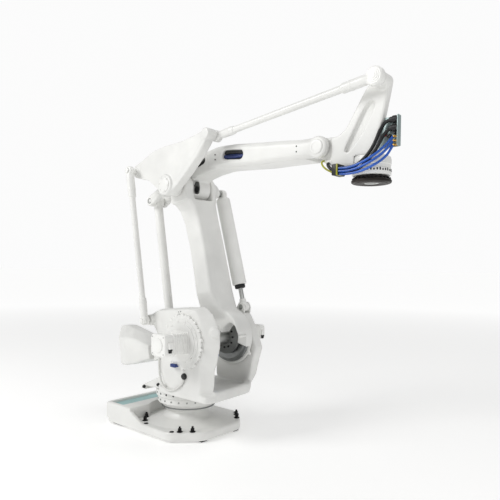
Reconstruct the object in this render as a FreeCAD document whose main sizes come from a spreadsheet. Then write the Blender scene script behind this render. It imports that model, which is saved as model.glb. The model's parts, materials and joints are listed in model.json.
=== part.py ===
"""Four-axis palletizing robot arm as a parametric FreeCAD document, in millimetres.

+X is the way the arm reaches, +Z is up and -Y is the side that carries the linkage rods.
The origin lies on the floor, on the vertical turning axis.  The lower arm turns about the
shoulder and the upper arm about the elbow.  A crank on the shoulder axis and the parallel rod
drive the upper arm.  Two thin rods and the triangular link keep the wrist level.
"""
import FreeCAD, Part
import math
import os
import re

import Sketcher

Vector = FreeCAD.Vector
Rotation = FreeCAD.Rotation
Placement = FreeCAD.Placement

DIMENSIONS = {
    # base casting, measured from the turning axis
    "base_front": 426, "base_rear": 640, "base_half_width": 423, "base_chamfer": 205,
    "foot_height": 12, "base_thickness": 73, "base_corner": 60,
    "foot_length": 130, "foot_width": 60, "foot_inset": 25,
    "inner_bolt_front": 268, "inner_bolt_rear": 180, "inner_bolt_side": 335,
    "outer_bolt_front": 340, "outer_bolt_rear": 255, "outer_bolt_side": 262,
    "floor_bolt_radius": 13, "level_hole_front": 220, "level_hole_rear": 110,
    "level_hole_side": 378, "level_hole_radius": 16,
    # cable box across the back of the base
    "cable_box_front": 330, "cable_box_foot": 285, "cable_box_top": 188,
    "recess_front": 420, "recess_rear": 590, "recess_near": 390, "recess_far": 330,
    "recess_depth": 26, "panel_thickness": 4,
    # pedestal and turning flange
    "dome_radius": 345, "dome_rise": 34, "dome_top_radius": 215, "neck_radius": 180,
    "neck_low": 158, "drive_radius": 228, "drive_low": 190, "flange_low": 300,
    "flange_radius": 284, "flange_top": 355, "flange_bore": 70, "turning_gap": 0.4,
    # main pivots
    "shoulder_offset": 300, "shoulder_height": 814.5,
    "lower_arm_length": 1280, "lower_arm_lean": 9.6,
    "upper_arm_length": 1350, "upper_arm_rise": 6.6,
    "crank_length": 450, "crank_angle": 3.75,
    "link_back": 395, "link_back_rise": 146, "link_front": 458, "link_front_rise": 347,
    "tool_reach": 327, "tool_drop": 261,
    # frame that turns on the base
    "floor_thickness": 62, "near_wall_outer": 330, "near_wall_inner": 250,
    "far_wall_inner": 240, "far_wall_outer": 335, "wall_crown": 285, "wall_front": 348,
    "wall_back": 300, "far_wall_crown": 200, "far_wall_front": 275, "far_wall_back": 200,
    "rod_corner": 120, "housing_drop": 32, "housing_height": 112, "housing_reach": 60,
    "housing_level": 92, "housing_tail": 30, "wall_fall": 30,
    "gearbox_radius": 226, "gearbox_depth": 16, "far_gearbox_radius": 190,
    "far_gearbox_depth": 70, "motor_half_width": 92, "motor_length": 250,
    "far_motor_half_width": 72, "far_motor_length": 210,
    # shoulder hubs
    "drum_radius": 250, "drum_near": 45, "drum_far": 230, "shoulder_shaft_radius": 70,
    "crank_hub_radius": 165, "crank_hub_gap": 10, "crank_hub_far": 70,
    "crank_nose_radius": 105,
    # elbow
    "ear_radius": 110, "near_ear_outer": 220, "near_ear_inner": 130,
    "far_ear_inner": 80, "far_ear_outer": 130, "elbow_shaft_radius": 45,
    "elbow_hub_radius": 104, "side_gap": 5, "open_gap": 1, "bearing_gap": 0.05, "seat_gap": 0.3,
    # lower arm column
    "column_half_depth": 94, "column_low": 330, "column_fork": 1120,
    "column_low_near": 55, "column_low_far": 222, "column_top_near": 140,
    "column_top_far": 118,
    # parallel rod
    "rod_plane": 66, "parallel_rod_radius": 40, "parallel_eye_radius": 48,
    "parallel_eye_width": 88, "crank_pin_radius": 25, "clevis_ear": 46, "rod_slot": 140,
    # balancing cylinder
    "balancer_plane": 290, "balancer_radius": 62, "balancer_length": 770,
    "balancer_top_forward": 22, "balancer_top_drop": 16, "balancer_foot_forward": 89,
    "balancer_foot_rise": 252, "balancer_pin_radius": 25, "balancer_eye_radius": 42,
    "balancer_eye_width": 50, "balancer_ear": 12, "piston_rod_radius": 20, "piston_rod_inside": 180,
    # levelling rods
    "lower_rod_plane": 410, "lower_rod_radius": 27, "lower_eye_radius": 42,
    "lower_eye_width": 60, "upper_rod_plane": 217, "upper_rod_radius": 27,
    "upper_eye_radius": 46, "upper_front_eye_radius": 60, "upper_eye_width": 54,
    "rod_pin_radius": 20, "sleeve_radius": 36, "sleeve_length": 190,
    "pin_reach": 10, "pin_head": 6,
    # triangular link
    "link_plate_near": 350, "link_plate_far": 305, "link_rim_far": 262, "link_hub_radius": 84,
    "link_hub_near": 364, "link_corner_radius": 46,
    # upper arm and wrist
    "arm_near": 160, "arm_far": 118, "wrist_ear_radius": 74, "wrist_ear_inner": 108,
    "wrist_ear_far_inner": 83, "wrist_shaft_radius": 32, "house_half_width": 100,
    "house_hub_radius": 68, "house_web": 40, "wrist_cover_radius": 49,
    "wrist_cover_depth": 8,
    "turret_radius": 126, "turret_top": 176, "turret_low": 49, "disc_radius": 130,
    "disc_height": 24, "collar_radius": 112, "collar_top": 44, "spindle_radius": 62,
    "spindle_top": 110, "tool_bore_radius": 50, "tool_bore_depth": 8,
    "tool_bolt_circle": 160, "tool_bolt_radius": 6, "tool_bolt_depth": 20,
    # hoses and leads held by the wrist and by the near wall, and their plugs
    "clamp_back": 140, "clamp_front": 190, "clamp_low": 212, "clamp_high": 138,
    "clamp_depth": 90, "panel_back": 420, "panel_front": 560, "panel_low": 63,
    "panel_high": 125, "panel_inner": 84, "panel_outer": 128, "panel_sheet": 6,
    "big_plug_radius": 22, "big_plug_length": 55, "fitting_radius": 9, "fitting_length": 32,
    "plug_plane": 110, "lead_plug_radius": 24, "lead_plug_depth": 22,
    "lead_plug_forward": 18, "lead_plug_drop": 273.5, "wall_connector_depth": 26,
    "wall_connector_back": 114, "wall_connector_drop": 210, "wall_connector_length": 64,
    "wall_connector_height": 28,
    "rear_plug_radius": 16, "rear_plug_depth": 16,
}

# Hand-laid routes of the held hoses: X, Y and Z about the wrist or the shoulder, one radius each
BLACK_HOSES = [
    (11, [(64, -100, -112), (70, -124, -120), (86, -144, -136), (108, -150, -160),
          (140, -150, -172)]),
    (11, [(190, -148, -174), (250, -148, -174), (312, -148, -150), (366, -148, -112),
          (408, -146, -62), (432, -138, -8), (446, -126, 44), (472, -112, 90),
          (505, -110, 101)]),
    (11, [(190, -150, -198), (256, -150, -200), (330, -150, -174), (390, -150, -130),
          (430, -150, -82), (456, -140, -30), (472, -122, 16), (505, -110, 50)]),
]
BLUE_HOSES = [
    (8, [(190, -180, -168), (256, -182, -172), (324, -182, -160), (392, -178, -134),
         (450, -164, -100), (492, -138, -56), (528, -110, -3)]),
    (8, [(190, -180, -187), (256, -182, -192), (326, -182, -182), (396, -178, -158),
         (456, -164, -126), (498, -138, -84), (528, -110, -29)]),
    (8, [(190, -172, -204), (258, -182, -212), (332, -182, -207), (404, -178, -187),
         (466, -164, -157), (504, -138, -118), (528, -110, -55)]),
]
EARTH_LOOP = [
    (6, [(30, -100, -92), (28, -122, -94), (34, -146, -110), (56, -164, -138),
         (92, -174, -166), (140, -176, -190)]),
]
WALL_LEAD = [
    (8.5, [(-294, -339, -162), (-292, -339, -224), (-286, -339, -294), (-264, -339, -360),
           (-222, -339, -404), (-168, -339, -416), (-112, -339, -406), (-54, -339, -376),
           (-4, -340, -336), (18, -341, -297.3)]),
]
REAR_PLUG_SPOTS = ((602, 468), (407, 422))      # behind and below the shoulder
ROUND_PLUG_RISES = (101, 50)                    # above the wrist axis
FITTING_DROPS = (3, 29, 55)                     # below the wrist axis
FRAME_HOSE = [
    (9, [(262, -240.5, 60), (288, -240.5, 10), (300, -240.5, -46), (290, -240.5, -102),
         (268, -240.5, -156), (244, -240.5, -222), (226, -240.5, -288), (214, -240.5, -346),
         (206, -240.5, -397.2)]),
]
RUN_SHARE = 0.45

DOC = FreeCAD.newDocument("PalletizingRobot")
WORD = re.compile(r"[a-z][a-z_]*")

# Places of the pivots, as formulas on the driving dimensions
SHOULDER = ("shoulder_offset", "shoulder_height")
ELBOW = ("(shoulder_offset - lower_arm_length * sin(lower_arm_lean))",
         "(shoulder_height + lower_arm_length * cos(lower_arm_lean))")
WRIST = (f"({ELBOW[0]} + upper_arm_length * cos(upper_arm_rise))",
         f"({ELBOW[1]} + upper_arm_length * sin(upper_arm_rise))")
CRANK_X = "(crank_length * cos(upper_arm_rise + crank_angle))"
CRANK_Z = "(crank_length * sin(upper_arm_rise + crank_angle))"
CRANK_END = (f"({SHOULDER[0]} - {CRANK_X})", f"({SHOULDER[1]} - {CRANK_Z})")
ARM_REAR_END = (f"({ELBOW[0]} - {CRANK_X})", f"({ELBOW[1]} - {CRANK_Z})")
LINK_REAR_END = (f"({ELBOW[0]} - link_back)", f"({ELBOW[1]} + link_back_rise)")
LINK_FRONT_END = (f"({ELBOW[0]} + link_front)", f"({ELBOW[1]} + link_front_rise)")
ROD_FOOT = (f"({SHOULDER[0]} - link_back)", f"({SHOULDER[1]} + link_back_rise)")
ROD_HEAD = (f"({WRIST[0]} + link_front)", f"({WRIST[1]} + link_front_rise)")
TOOL = (f"({WRIST[0]} + tool_reach)", f"({WRIST[1]} - tool_drop)")
BALANCER_TOP = (f"({ELBOW[0]} + balancer_top_forward)", f"({ELBOW[1]} - balancer_top_drop)")
BALANCER_FOOT = (f"({SHOULDER[0]} + balancer_foot_forward)",
                 f"({SHOULDER[1]} + balancer_foot_rise)")
BALANCER_LEAN = (f"atan(({BALANCER_TOP[0]} - {BALANCER_FOOT[0]})"
                 f" / ({BALANCER_TOP[1]} - {BALANCER_FOOT[1]}))")
CRANK_HUB_NEAR = "(crank_hub_gap - near_wall_inner)"
ORIGIN = ("0", "0")


def fill_sheet():
    """Write each driving dimension as a row with its name and its plain number."""
    sheet = DOC.addObject("Spreadsheet::Sheet", "Sizes")
    for row, (name, number) in enumerate(DIMENSIONS.items(), start=1):
        sheet.set(f"A{row}", name)
        sheet.set(f"B{row}", str(number))
        sheet.setAlias(f"B{row}", name)
    DOC.recompute()
    return sheet


SHEET = fill_sheet()
FINISHED = []


def bound(text):
    """Name the sheet in front of each of its aliases in a formula."""
    def with_sheet(match):
        word = match.group()
        return f"Sizes.{word}" if word in DIMENSIONS else word
    return WORD.sub(with_sheet, str(text))


def bind(item, **formulas):
    """Bind properties of an object to formulas on the sheet."""
    for name, text in formulas.items():
        item.setExpression(name, bound(text))
    return item


def place(item, x=0, y=0, z=0, axis=(0, 0, 1), angle=0):
    """Give an object a place and a turn, each bound to the sheet."""
    item.Placement = Placement(Vector(), Rotation(Vector(*axis), 10))
    for name, text in zip("xyz", (x, y, z)):
        item.setExpression(f"Placement.Base.{name}", bound(text))
    item.setExpression("Placement.Rotation.Angle", bound(angle))
    return item


def finish(item, label):
    """Name a finished sub-part, which names its file too."""
    item.Label = label
    FINISHED.append(item)
    return item


def new(kind, name):
    """Add an object of a kind to the document."""
    return DOC.addObject(kind, name)


def box(name, low, size):
    """A block from its low corner and its size."""
    block = bind(new("Part::Box", name), Length=size[0], Width=size[1], Height=size[2])
    return place(block, *low)


def post(name, radius, low, height, x=0, y=0):
    """An upright cylinder."""
    item = bind(new("Part::Cylinder", name), Radius=radius, Height=height)
    return place(item, x, y, low)


def shaft(name, radius, near, far, centre=ORIGIN):
    """A cylinder along Y, from its place at -Y to its place at +Y."""
    item = bind(new("Part::Cylinder", name), Radius=radius, Height=f"({far}) - ({near})")
    return place(item, centre[0], near, centre[1], (1, 0, 0), -90)


def cone(name, near_radius, far_radius, near, far, centre=ORIGIN):
    """A cone along Y."""
    item = bind(new("Part::Cone", name), Radius1=near_radius, Radius2=far_radius,
                Height=f"({far}) - ({near})")
    return place(item, centre[0], near, centre[1], (1, 0, 0), -90)


def fuse(name, *parts):
    """One solid from several."""
    item = new("Part::MultiFuse", name)
    item.Shapes = list(parts)
    return item


def cut(name, base, *tools):
    """A solid less one or more others."""
    item = new("Part::Cut", name)
    item.Base = base
    item.Tool = tools[0] if len(tools) == 1 else fuse(name + "Tools", *tools)
    return item


def common(name, first, second):
    """What two solids share."""
    item = new("Part::MultiCommon", name)
    item.Shapes = [first, second]
    return item


def plane_of(body, role):
    """A body's own origin plane."""
    return next(item for item in body.Origin.OriginFeatures if item.Role == role)


def outline_sketch(body, name, role, points, offset="0"):
    """A closed sketch of straight runs, each corner bound to the sheet."""
    sketch = body.newObject("Sketcher::SketchObject", name)
    sketch.AttachmentSupport = [(plane_of(body, role), "")]
    sketch.MapMode = "FlatFace"
    sketch.setExpression("AttachmentOffset.Base.z", bound(offset))
    count = len(points)
    starts = [Vector(math.cos(2 * math.pi * i / count), math.sin(2 * math.pi * i / count), 0)
              for i in range(count)]
    for i in range(count):
        sketch.addGeometry(Part.LineSegment(starts[i], starts[(i + 1) % count]), False)
    for i in range(count):
        sketch.addConstraint(Sketcher.Constraint("Coincident", i, 2, (i + 1) % count, 1))
    for i, (across, up) in enumerate(points):
        for kind, text, start in (("DistanceX", across, starts[i].x), ("DistanceY", up, starts[i].y)):
            index = sketch.addConstraint(Sketcher.Constraint(kind, -1, 1, i, 1, start))
            sketch.setExpression(f"Constraints[{index}]", bound(text))
    return sketch


def circle_sketch(body, name, role, circles, offset="0"):
    """A sketch of circles, each given as two places and a radius."""
    sketch = body.newObject("Sketcher::SketchObject", name)
    sketch.AttachmentSupport = [(plane_of(body, role), "")]
    sketch.MapMode = "FlatFace"
    sketch.setExpression("AttachmentOffset.Base.z", bound(offset))
    for i, (across, up, radius) in enumerate(circles):
        sketch.addGeometry(Part.Circle(Vector(i + 1, i + 1, 0), Vector(0, 0, 1), 1 + i), False)
        for kind, text, start in (("DistanceX", across, i + 1), ("DistanceY", up, i + 1)):
            index = sketch.addConstraint(Sketcher.Constraint(kind, -1, 1, i, 3, start))
            sketch.setExpression(f"Constraints[{index}]", bound(text))
        index = sketch.addConstraint(Sketcher.Constraint("Radius", i, 1 + i))
        sketch.setExpression(f"Constraints[{index}]", bound(radius))
    return sketch


def pad(body, sketch, length):
    """Thicken a sketch along its normal."""
    feature = body.newObject("PartDesign::Pad", sketch.Name + "Pad")
    feature.Profile = sketch
    return bind(feature, Length=length)


def pocket_through(body, sketch):
    """Cut a sketch right through the body, both ways."""
    feature = body.newObject("PartDesign::Pocket", sketch.Name + "Cut")
    feature.Profile = sketch
    feature.Type = "ThroughAll"
    feature.Midplane = True
    return feature


def round_edges(body, radius, wanted):
    """Round the edges of a body's tip that a test picks out."""
    DOC.recompute()
    tip = body.Tip
    names = [f"Edge{i + 1}" for i, edge in enumerate(tip.Shape.Edges) if wanted(edge)]
    feature = body.newObject("PartDesign::Fillet", body.Name + "Round")
    feature.Base = (tip, names)
    return bind(feature, Radius=radius)


def runs_along(direction):
    """A test for straight edges along a direction."""
    def test(edge):
        if not isinstance(edge.Curve, Part.Line):
            return False
        return abs(edge.Curve.Direction.dot(direction)) > 0.999
    return test


def side_plate(name, points, near, far):
    """A body from an outline in X and Z, between two places across the arm.

    The sketch lies at the far place, and the pad runs from there towards -Y.
    """
    body = new("PartDesign::Body", name)
    sketch = outline_sketch(body, name + "Outline", "XZ_Plane", points, f"-({far})")
    pad(body, sketch, f"({far}) - ({near})")
    return body


def stand_at(item, centre, angle="0"):
    """Put a piece drawn about its own pivot at that pivot, turned about Y."""
    return place(item, centre[0], 0, centre[1], (0, 1, 0), angle)


def shaft_forward(name, radius, back, front, y, z):
    """A cylinder along X."""
    item = bind(new("Part::Cylinder", name), Radius=radius, Height=f"({front}) - ({back})")
    return place(item, back, y, z, (0, 1, 0), 90)


def bent_path(points):
    """Straight runs joined by tangent arcs, each as large as its two runs allow."""
    edges, last = [], points[0]
    for before, corner, after in zip(points, points[1:], points[2:]):
        back, ahead = before - corner, after - corner
        reach = RUN_SHARE * min(back.Length, ahead.Length)
        half_turn = (math.pi - back.getAngle(ahead)) / 2
        radius = reach / math.tan(half_turn)
        back.normalize()
        ahead.normalize()
        inwards = (back + ahead).normalize()
        start, end = corner + back * reach, corner + ahead * reach
        middle = corner + inwards * (radius / math.cos(half_turn) - radius)
        edges.append(Part.LineSegment(last, start).toShape())
        edges.append(Part.Arc(start, middle, end).toShape())
        print(f"  bend radius {radius:.0f}")
        last = end
    edges.append(Part.LineSegment(last, points[-1]).toShape())
    return Part.Wire(edges)


def hoses(name, routes, centre, label):
    """Hoses that are held all the way, drawn about a pivot, as one group of tubes."""
    tubes = []
    for number, (radius, corners) in enumerate(routes):
        points = [Vector(*corner) for corner in corners]
        path = bent_path(points)
        ring = Part.Wire(Part.makeCircle(radius, points[0], points[1] - points[0]))
        item = new("Part::Feature", f"{name}{number}")
        item.Shape = path.makePipeShell([ring], True, False)
        share = item.Shape.Volume / (math.pi * radius ** 2 * path.Length)
        print(f"{name}{number}: {path.Length:.0f} long, volume share {share:.4f}")
        tubes.append(item)
    group = new("Part::Compound", name)
    group.Links = tubes
    finish(stand_at(group, centre), label)


# ---------------------------------------------------------------- base

def make_base_plate():
    """The floor casting: a plate with its front corners cut off and holes for its bolts."""
    body = new("PartDesign::Body", "BasePlate")
    corners = [("-base_rear", "-base_half_width"),
               ("base_front - base_chamfer", "-base_half_width"),
               ("base_front", "base_chamfer - base_half_width"),
               ("base_front", "base_half_width - base_chamfer"),
               ("base_front - base_chamfer", "base_half_width"),
               ("-base_rear", "base_half_width")]
    pad(body, outline_sketch(body, "BaseOutline", "XY_Plane", corners, "foot_height"),
        "base_thickness")
    round_edges(body, "base_corner", runs_along(Vector(0, 0, 1)))
    holes = []
    for side in ("-", ""):
        for x, y, radius in (
                ("inner_bolt_front", "inner_bolt_side", "floor_bolt_radius"),
                ("-inner_bolt_rear", "inner_bolt_side", "floor_bolt_radius"),
                ("outer_bolt_front", "outer_bolt_side", "floor_bolt_radius"),
                ("-outer_bolt_rear", "outer_bolt_side", "floor_bolt_radius"),
                ("level_hole_front", "level_hole_side", "level_hole_radius"),
                ("-level_hole_rear", "level_hole_side", "level_hole_radius")):
            holes.append((x, side + y, radius))
    pocket_through(body, circle_sketch(body, "FloorHoles", "XY_Plane", holes,
                                       "foot_height + base_thickness / 2"))
    finish(body, "base_plate")


def make_foot_pads():
    """Four pads that carry the plate clear of the floor."""
    pads = []
    front = ("base_front - foot_inset - foot_length",
             "base_half_width - base_chamfer - foot_width")
    rear = ("foot_inset + base_corner - base_rear", "base_half_width - foot_inset - foot_width")
    for x, inner in (front, rear):
        for y in (f"-({inner}) - foot_width", inner):
            pads.append(box(f"Foot{len(pads)}", (x, y, 0),
                            ("foot_length", "foot_width", "foot_height")))
    group = new("Part::Compound", "FootPads")
    group.Links = pads
    finish(group, "foot_pads")


def make_pedestal():
    """The raised mound, the neck and the drive housing, turned about the vertical axis."""
    body = new("PartDesign::Body", "Pedestal")
    base_top = "foot_height + base_thickness"
    profile = [("0", base_top), ("dome_radius", base_top),
               ("dome_top_radius", f"{base_top} + dome_rise"),
               ("neck_radius", "neck_low"), ("neck_radius", "drive_low"),
               ("drive_radius", "drive_low"), ("drive_radius", "flange_low"),
               ("0", "flange_low")]
    sketch = outline_sketch(body, "PedestalProfile", "XZ_Plane", profile)
    turn = body.newObject("PartDesign::Revolution", "PedestalTurn")
    turn.Profile = sketch
    turn.ReferenceAxis = (sketch, ["V_Axis"])
    turn.Angle = 360
    finish(body, "pedestal")


def make_cable_box():
    """The raised box across the back of the base, with a long recess in its top."""
    base_top = "foot_height + base_thickness"
    profile = [("-base_rear", base_top), ("-cable_box_foot", base_top),
               ("-cable_box_front", "cable_box_top"), ("-base_rear", "cable_box_top")]
    shell = side_plate("CableBoxBlock", profile, "-base_half_width", "base_half_width")
    mound = post("DomeSpace", "dome_radius + seat_gap", base_top, "cable_box_top")
    recess = box("Recess", ("-recess_rear", "-recess_near", "cable_box_top - recess_depth"),
                 ("recess_rear - recess_front", "recess_near + recess_far", "recess_depth + 1"))
    finish(cut("CableBox", shell, mound, recess), "cable_box")
    panel = box("RecessPanel", ("-recess_rear", "-recess_near", "cable_box_top - recess_depth"),
                ("recess_rear - recess_front", "recess_near + recess_far", "panel_thickness"))
    finish(panel, "recess_panel")


# ---------------------------------------------------------------- turning frame

def make_turning_flange():
    """The ring under the frame that the drive turns."""
    low = "flange_low + turning_gap"
    ring = post("FlangeDisc", "flange_radius", low, f"flange_top - ({low})")
    bore = post("FlangeBore", "flange_bore", low, f"flange_top - ({low})")
    finish(cut("TurningFlange", ring, bore), "turning_flange")


def wall_outline(front, back, crown, fall):
    """Corners of a frame wall in X and Z, about the shoulder; its top falls to the back."""
    floor = "flange_top - shoulder_height"
    return [(f"-{back} + 60", floor), (f"{front} - 63", floor), (f"{front} - 63", "-208"),
            (f"{front} - 36", "-150"), (front, "8"), (f"{front} - 18", "120"),
            (f"{front} - 83", f"{crown} - 58"), (f"{front} - 160", crown),
            (f"-{back} + 10", f"{crown} - {fall}"), (f"-{back} - 46", f"{crown} - {fall} - 27"),
            (f"-{back} - rod_corner", f"{crown} - 83"),
            (f"-{back} - rod_corner", f"{crown} - 185"), (f"-{back} - 45", "20"),
            (f"-{back}", "-150"), (f"-{back}", f"{floor} + 90")]


def make_frame():
    """The turning casting: two walls on a floor, open at the front and the back."""
    near = side_plate("NearWall", wall_outline("wall_front", "wall_back", "wall_crown",
                                               "wall_fall"),
                      "-near_wall_outer", "-near_wall_inner")
    stand_at(near, SHOULDER)
    far = side_plate("FarWall", wall_outline("far_wall_front", "far_wall_back",
                                             "far_wall_crown", "0"),
                     "far_wall_inner", "far_wall_outer")
    stand_at(far, SHOULDER)
    floor = box("FrameFloor", (f"{SHOULDER[0]} - wall_back + 20", "-near_wall_inner - 10",
                               "flange_top"),
                ("wall_back + wall_front - 90", "near_wall_inner + far_wall_inner + 20",
                 "floor_thickness"))
    casting = fuse("FrameCasting", near, far, floor)
    bores = [shaft("ShoulderBore", "shoulder_shaft_radius + bearing_gap",
                   "-near_wall_outer - 1", "far_wall_outer + 1", SHOULDER)]
    finish(cut("Frame", casting, *bores), "frame")


def make_shoulder_drives():
    """The gearboxes outside the walls, their motors and the fixed shoulder shaft."""
    near = shaft("NearGearbox", "gearbox_radius", "-near_wall_outer - gearbox_depth",
                 "-near_wall_outer", SHOULDER)
    finish(near, "near_gearbox")
    far = cone("FarGearbox", "far_gearbox_radius", "far_gearbox_radius - 40", "far_wall_outer",
               "far_wall_outer + far_gearbox_depth", SHOULDER)
    finish(far, "far_gearbox")
    half = "motor_half_width"
    start = "-near_wall_outer - gearbox_depth"
    motor = box("NearMotor", (f"{SHOULDER[0]} - {half}", f"{start} - motor_length",
                              f"{SHOULDER[1]} - {half}"),
                (f"2 * {half}", "motor_length", f"2 * {half}"))
    finish(motor, "near_motor")
    half = "far_motor_half_width"
    start = "far_wall_outer + far_gearbox_depth"
    motor = box("FarMotor", (f"{SHOULDER[0]} - {half}", start, f"{SHOULDER[1]} - {half}"),
                (f"2 * {half}", "far_motor_length", f"2 * {half}"))
    finish(motor, "far_motor")
    finish(shaft("ShoulderShaft", "shoulder_shaft_radius", "-near_wall_outer",
                 "far_wall_outer", SHOULDER), "shoulder_shaft")


def make_rear_housing():
    """The closed box low at the back of the frame, where the cables come in."""
    seat = "flange_top + seat_gap - shoulder_height"
    step = f"-flange_radius - {SHOULDER[0]} - side_gap"
    low, high = f"{seat} - housing_drop", f"{seat} + housing_height"
    back = f"{step} - housing_reach"
    profile = [(back, low), (step, low), (step, seat), ("-wall_back - seat_gap", seat),
               ("-wall_back - seat_gap", high), ("-wall_back - housing_level", high),
               (back, f"{low} + housing_tail")]
    body = side_plate("RearHousing", profile, "-near_wall_inner", "far_wall_inner - 60")
    stand_at(body, SHOULDER)
    finish(body, "rear_housing")


def make_frame_leads():
    """The motor's lead on the near wall with its plugs, the inner hose and the rear plugs."""
    hoses("WallLead", WALL_LEAD, SHOULDER, "wall_cable")
    hoses("InnerHose", FRAME_HOSE, SHOULDER, "frame_hose")
    gearbox_face = "-near_wall_outer - gearbox_depth"
    block = box("WallConnectorBlock", (f"{SHOULDER[0]} - wall_connector_back",
                                       f"{gearbox_face} - wall_connector_depth",
                                       f"{SHOULDER[1]} - wall_connector_drop"),
                ("wall_connector_length", "wall_connector_depth", "wall_connector_height"))
    round_plug = shaft("LeadPlug", "lead_plug_radius", "-near_wall_outer - lead_plug_depth",
                       "-near_wall_outer", (f"{SHOULDER[0]} + lead_plug_forward",
                                            f"{SHOULDER[1]} - lead_plug_drop"))
    connectors = new("Part::Compound", "WallConnectors")
    connectors.Links = [block, round_plug]
    finish(connectors, "wall_connectors")
    plugs = [shaft(f"RearPlug{back}", "rear_plug_radius", "-near_wall_inner - rear_plug_depth",
                   "-near_wall_inner", (f"{SHOULDER[0]} - {back}", f"{SHOULDER[1]} - {drop}"))
             for back, drop in REAR_PLUG_SPOTS]
    group = new("Part::Compound", "RearPlugs")
    group.Links = plugs
    finish(group, "rear_plugs")


def make_rod_brackets():
    """The pin on the near wall for the lower levelling rod and the ears for the balancer."""
    pin = shaft("RodFootPin", "rod_pin_radius", "-lower_rod_plane - lower_eye_width / 2 - pin_head",
                "-near_wall_outer", ROD_FOOT)
    collar = shaft("RodFootCollar", "lower_eye_radius - 6",
                   "-lower_rod_plane + sleeve_radius + side_gap", "-near_wall_outer",
                   ROD_FOOT)
    finish(fuse("RodFoot", pin, collar), "rod_foot_pin")
    ears = []
    half = "(balancer_eye_width / 2)"
    outer_near = f"balancer_plane - {half} - side_gap - balancer_ear"
    outer_far = f"balancer_plane + {half} + side_gap + balancer_ear"
    for near, far in ((outer_near, f"{outer_near} + balancer_ear"),
                      (f"{outer_far} - balancer_ear", outer_far)):
        top = shaft(f"EarTop{len(ears)}", "balancer_eye_radius", near, far, BALANCER_FOOT)
        web = box(f"EarWeb{len(ears)}", (f"{BALANCER_FOOT[0]} - balancer_eye_radius - 6", near,
                                         f"{SHOULDER[1]} + far_wall_crown + seat_gap"),
                  ("2 * balancer_eye_radius - 30", f"({far}) - ({near})",
                   "balancer_foot_rise - far_wall_crown"))
        hole = shaft(f"EarHole{len(ears)}", "balancer_pin_radius + bearing_gap",
                     f"{near} - 1", f"{far} + 1", BALANCER_FOOT)
        ears.append(cut(f"Ear{len(ears)}", fuse(f"EarSolid{len(ears)}", top, web), hole))
    finish(shaft("BalancerFootPin", "balancer_pin_radius", outer_near, outer_far,
                 BALANCER_FOOT), "balancer_foot_pin")
    group = new("Part::Compound", "BalancerEars")
    group.Links = ears
    finish(group, "balancer_ears")


# ---------------------------------------------------------------- lower arm

def rectangle(half_depth, near, far):
    """Corners of a cross-section of the column, near and far along Y."""
    return [(f"-({half_depth})", near), (half_depth, near), (half_depth, far),
            (f"-({half_depth})", far)]


def make_lower_arm():
    """The column from the shoulder drum to the fork at the elbow, drawn upright."""
    body = new("PartDesign::Body", "Column")
    sections = [("column_low - 150", "column_half_depth + 20", "drum_near", "drum_far"),
                ("column_low", "column_half_depth", "-column_low_near", "column_low_far"),
                ("column_fork", "column_half_depth", "-column_top_near", "column_top_far"),
                ("lower_arm_length - ear_radius - 12", "column_half_depth + 8",
                 "-near_ear_outer", "far_ear_outer")]
    sketches = [outline_sketch(body, f"Section{i}", "XY_Plane", rectangle(depth, near, far), up)
                for i, (up, depth, near, far) in enumerate(sections)]
    loft = body.newObject("PartDesign::AdditiveLoft", "ColumnLoft")
    loft.Profile = sketches[0]
    loft.Sections = sketches[1:]
    loft.Ruled = True
    drum = shaft("ArmDrum", "drum_radius", "drum_near", "drum_far")
    top = ("0", "lower_arm_length")
    parts = [body, drum]
    for near, far in (("-near_ear_outer", "-near_ear_inner"), ("far_ear_inner", "far_ear_outer")):
        parts.append(shaft(f"ForkEar{len(parts)}", "ear_radius", near, far, top))
        parts.append(box(f"ForkLeg{len(parts)}",
                         ("-column_half_depth - 8", near,
                          "lower_arm_length - ear_radius - 13"),
                         ("2 * column_half_depth + 16", f"({far}) - ({near})", "ear_radius + 13")))
    solid = fuse("LowerArmSolid", *parts)
    bores = [shaft("DrumBore", "shoulder_shaft_radius + bearing_gap", "-1", "drum_far + 1"),
             shaft("ElbowBore", "elbow_shaft_radius + bearing_gap", "-near_ear_outer - 1",
                   "far_ear_outer + 1", top)]
    arm = cut("LowerArm", solid, *bores)
    stand_at(arm, SHOULDER, "-lower_arm_lean")
    finish(arm, "lower_arm")


def make_elbow_cover():
    """The cap on the far ear, with the boss beside the balancing cylinder's top pin."""
    low, high = "far_ear_outer", "balancer_plane - balancer_radius - side_gap"
    cap = cone("ElbowCap", "ear_radius - 14", "balancer_eye_radius + 10", low, high, ELBOW)
    boss = shaft("StubBoss", "balancer_eye_radius", low, high, BALANCER_TOP)
    finish(fuse("ElbowCover", cap, boss), "elbow_cover")


def balancer_piece(item):
    """Stand a piece drawn hanging under the balancer's top pivot in its place."""
    return stand_at(item, BALANCER_TOP, BALANCER_LEAN)


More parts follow.
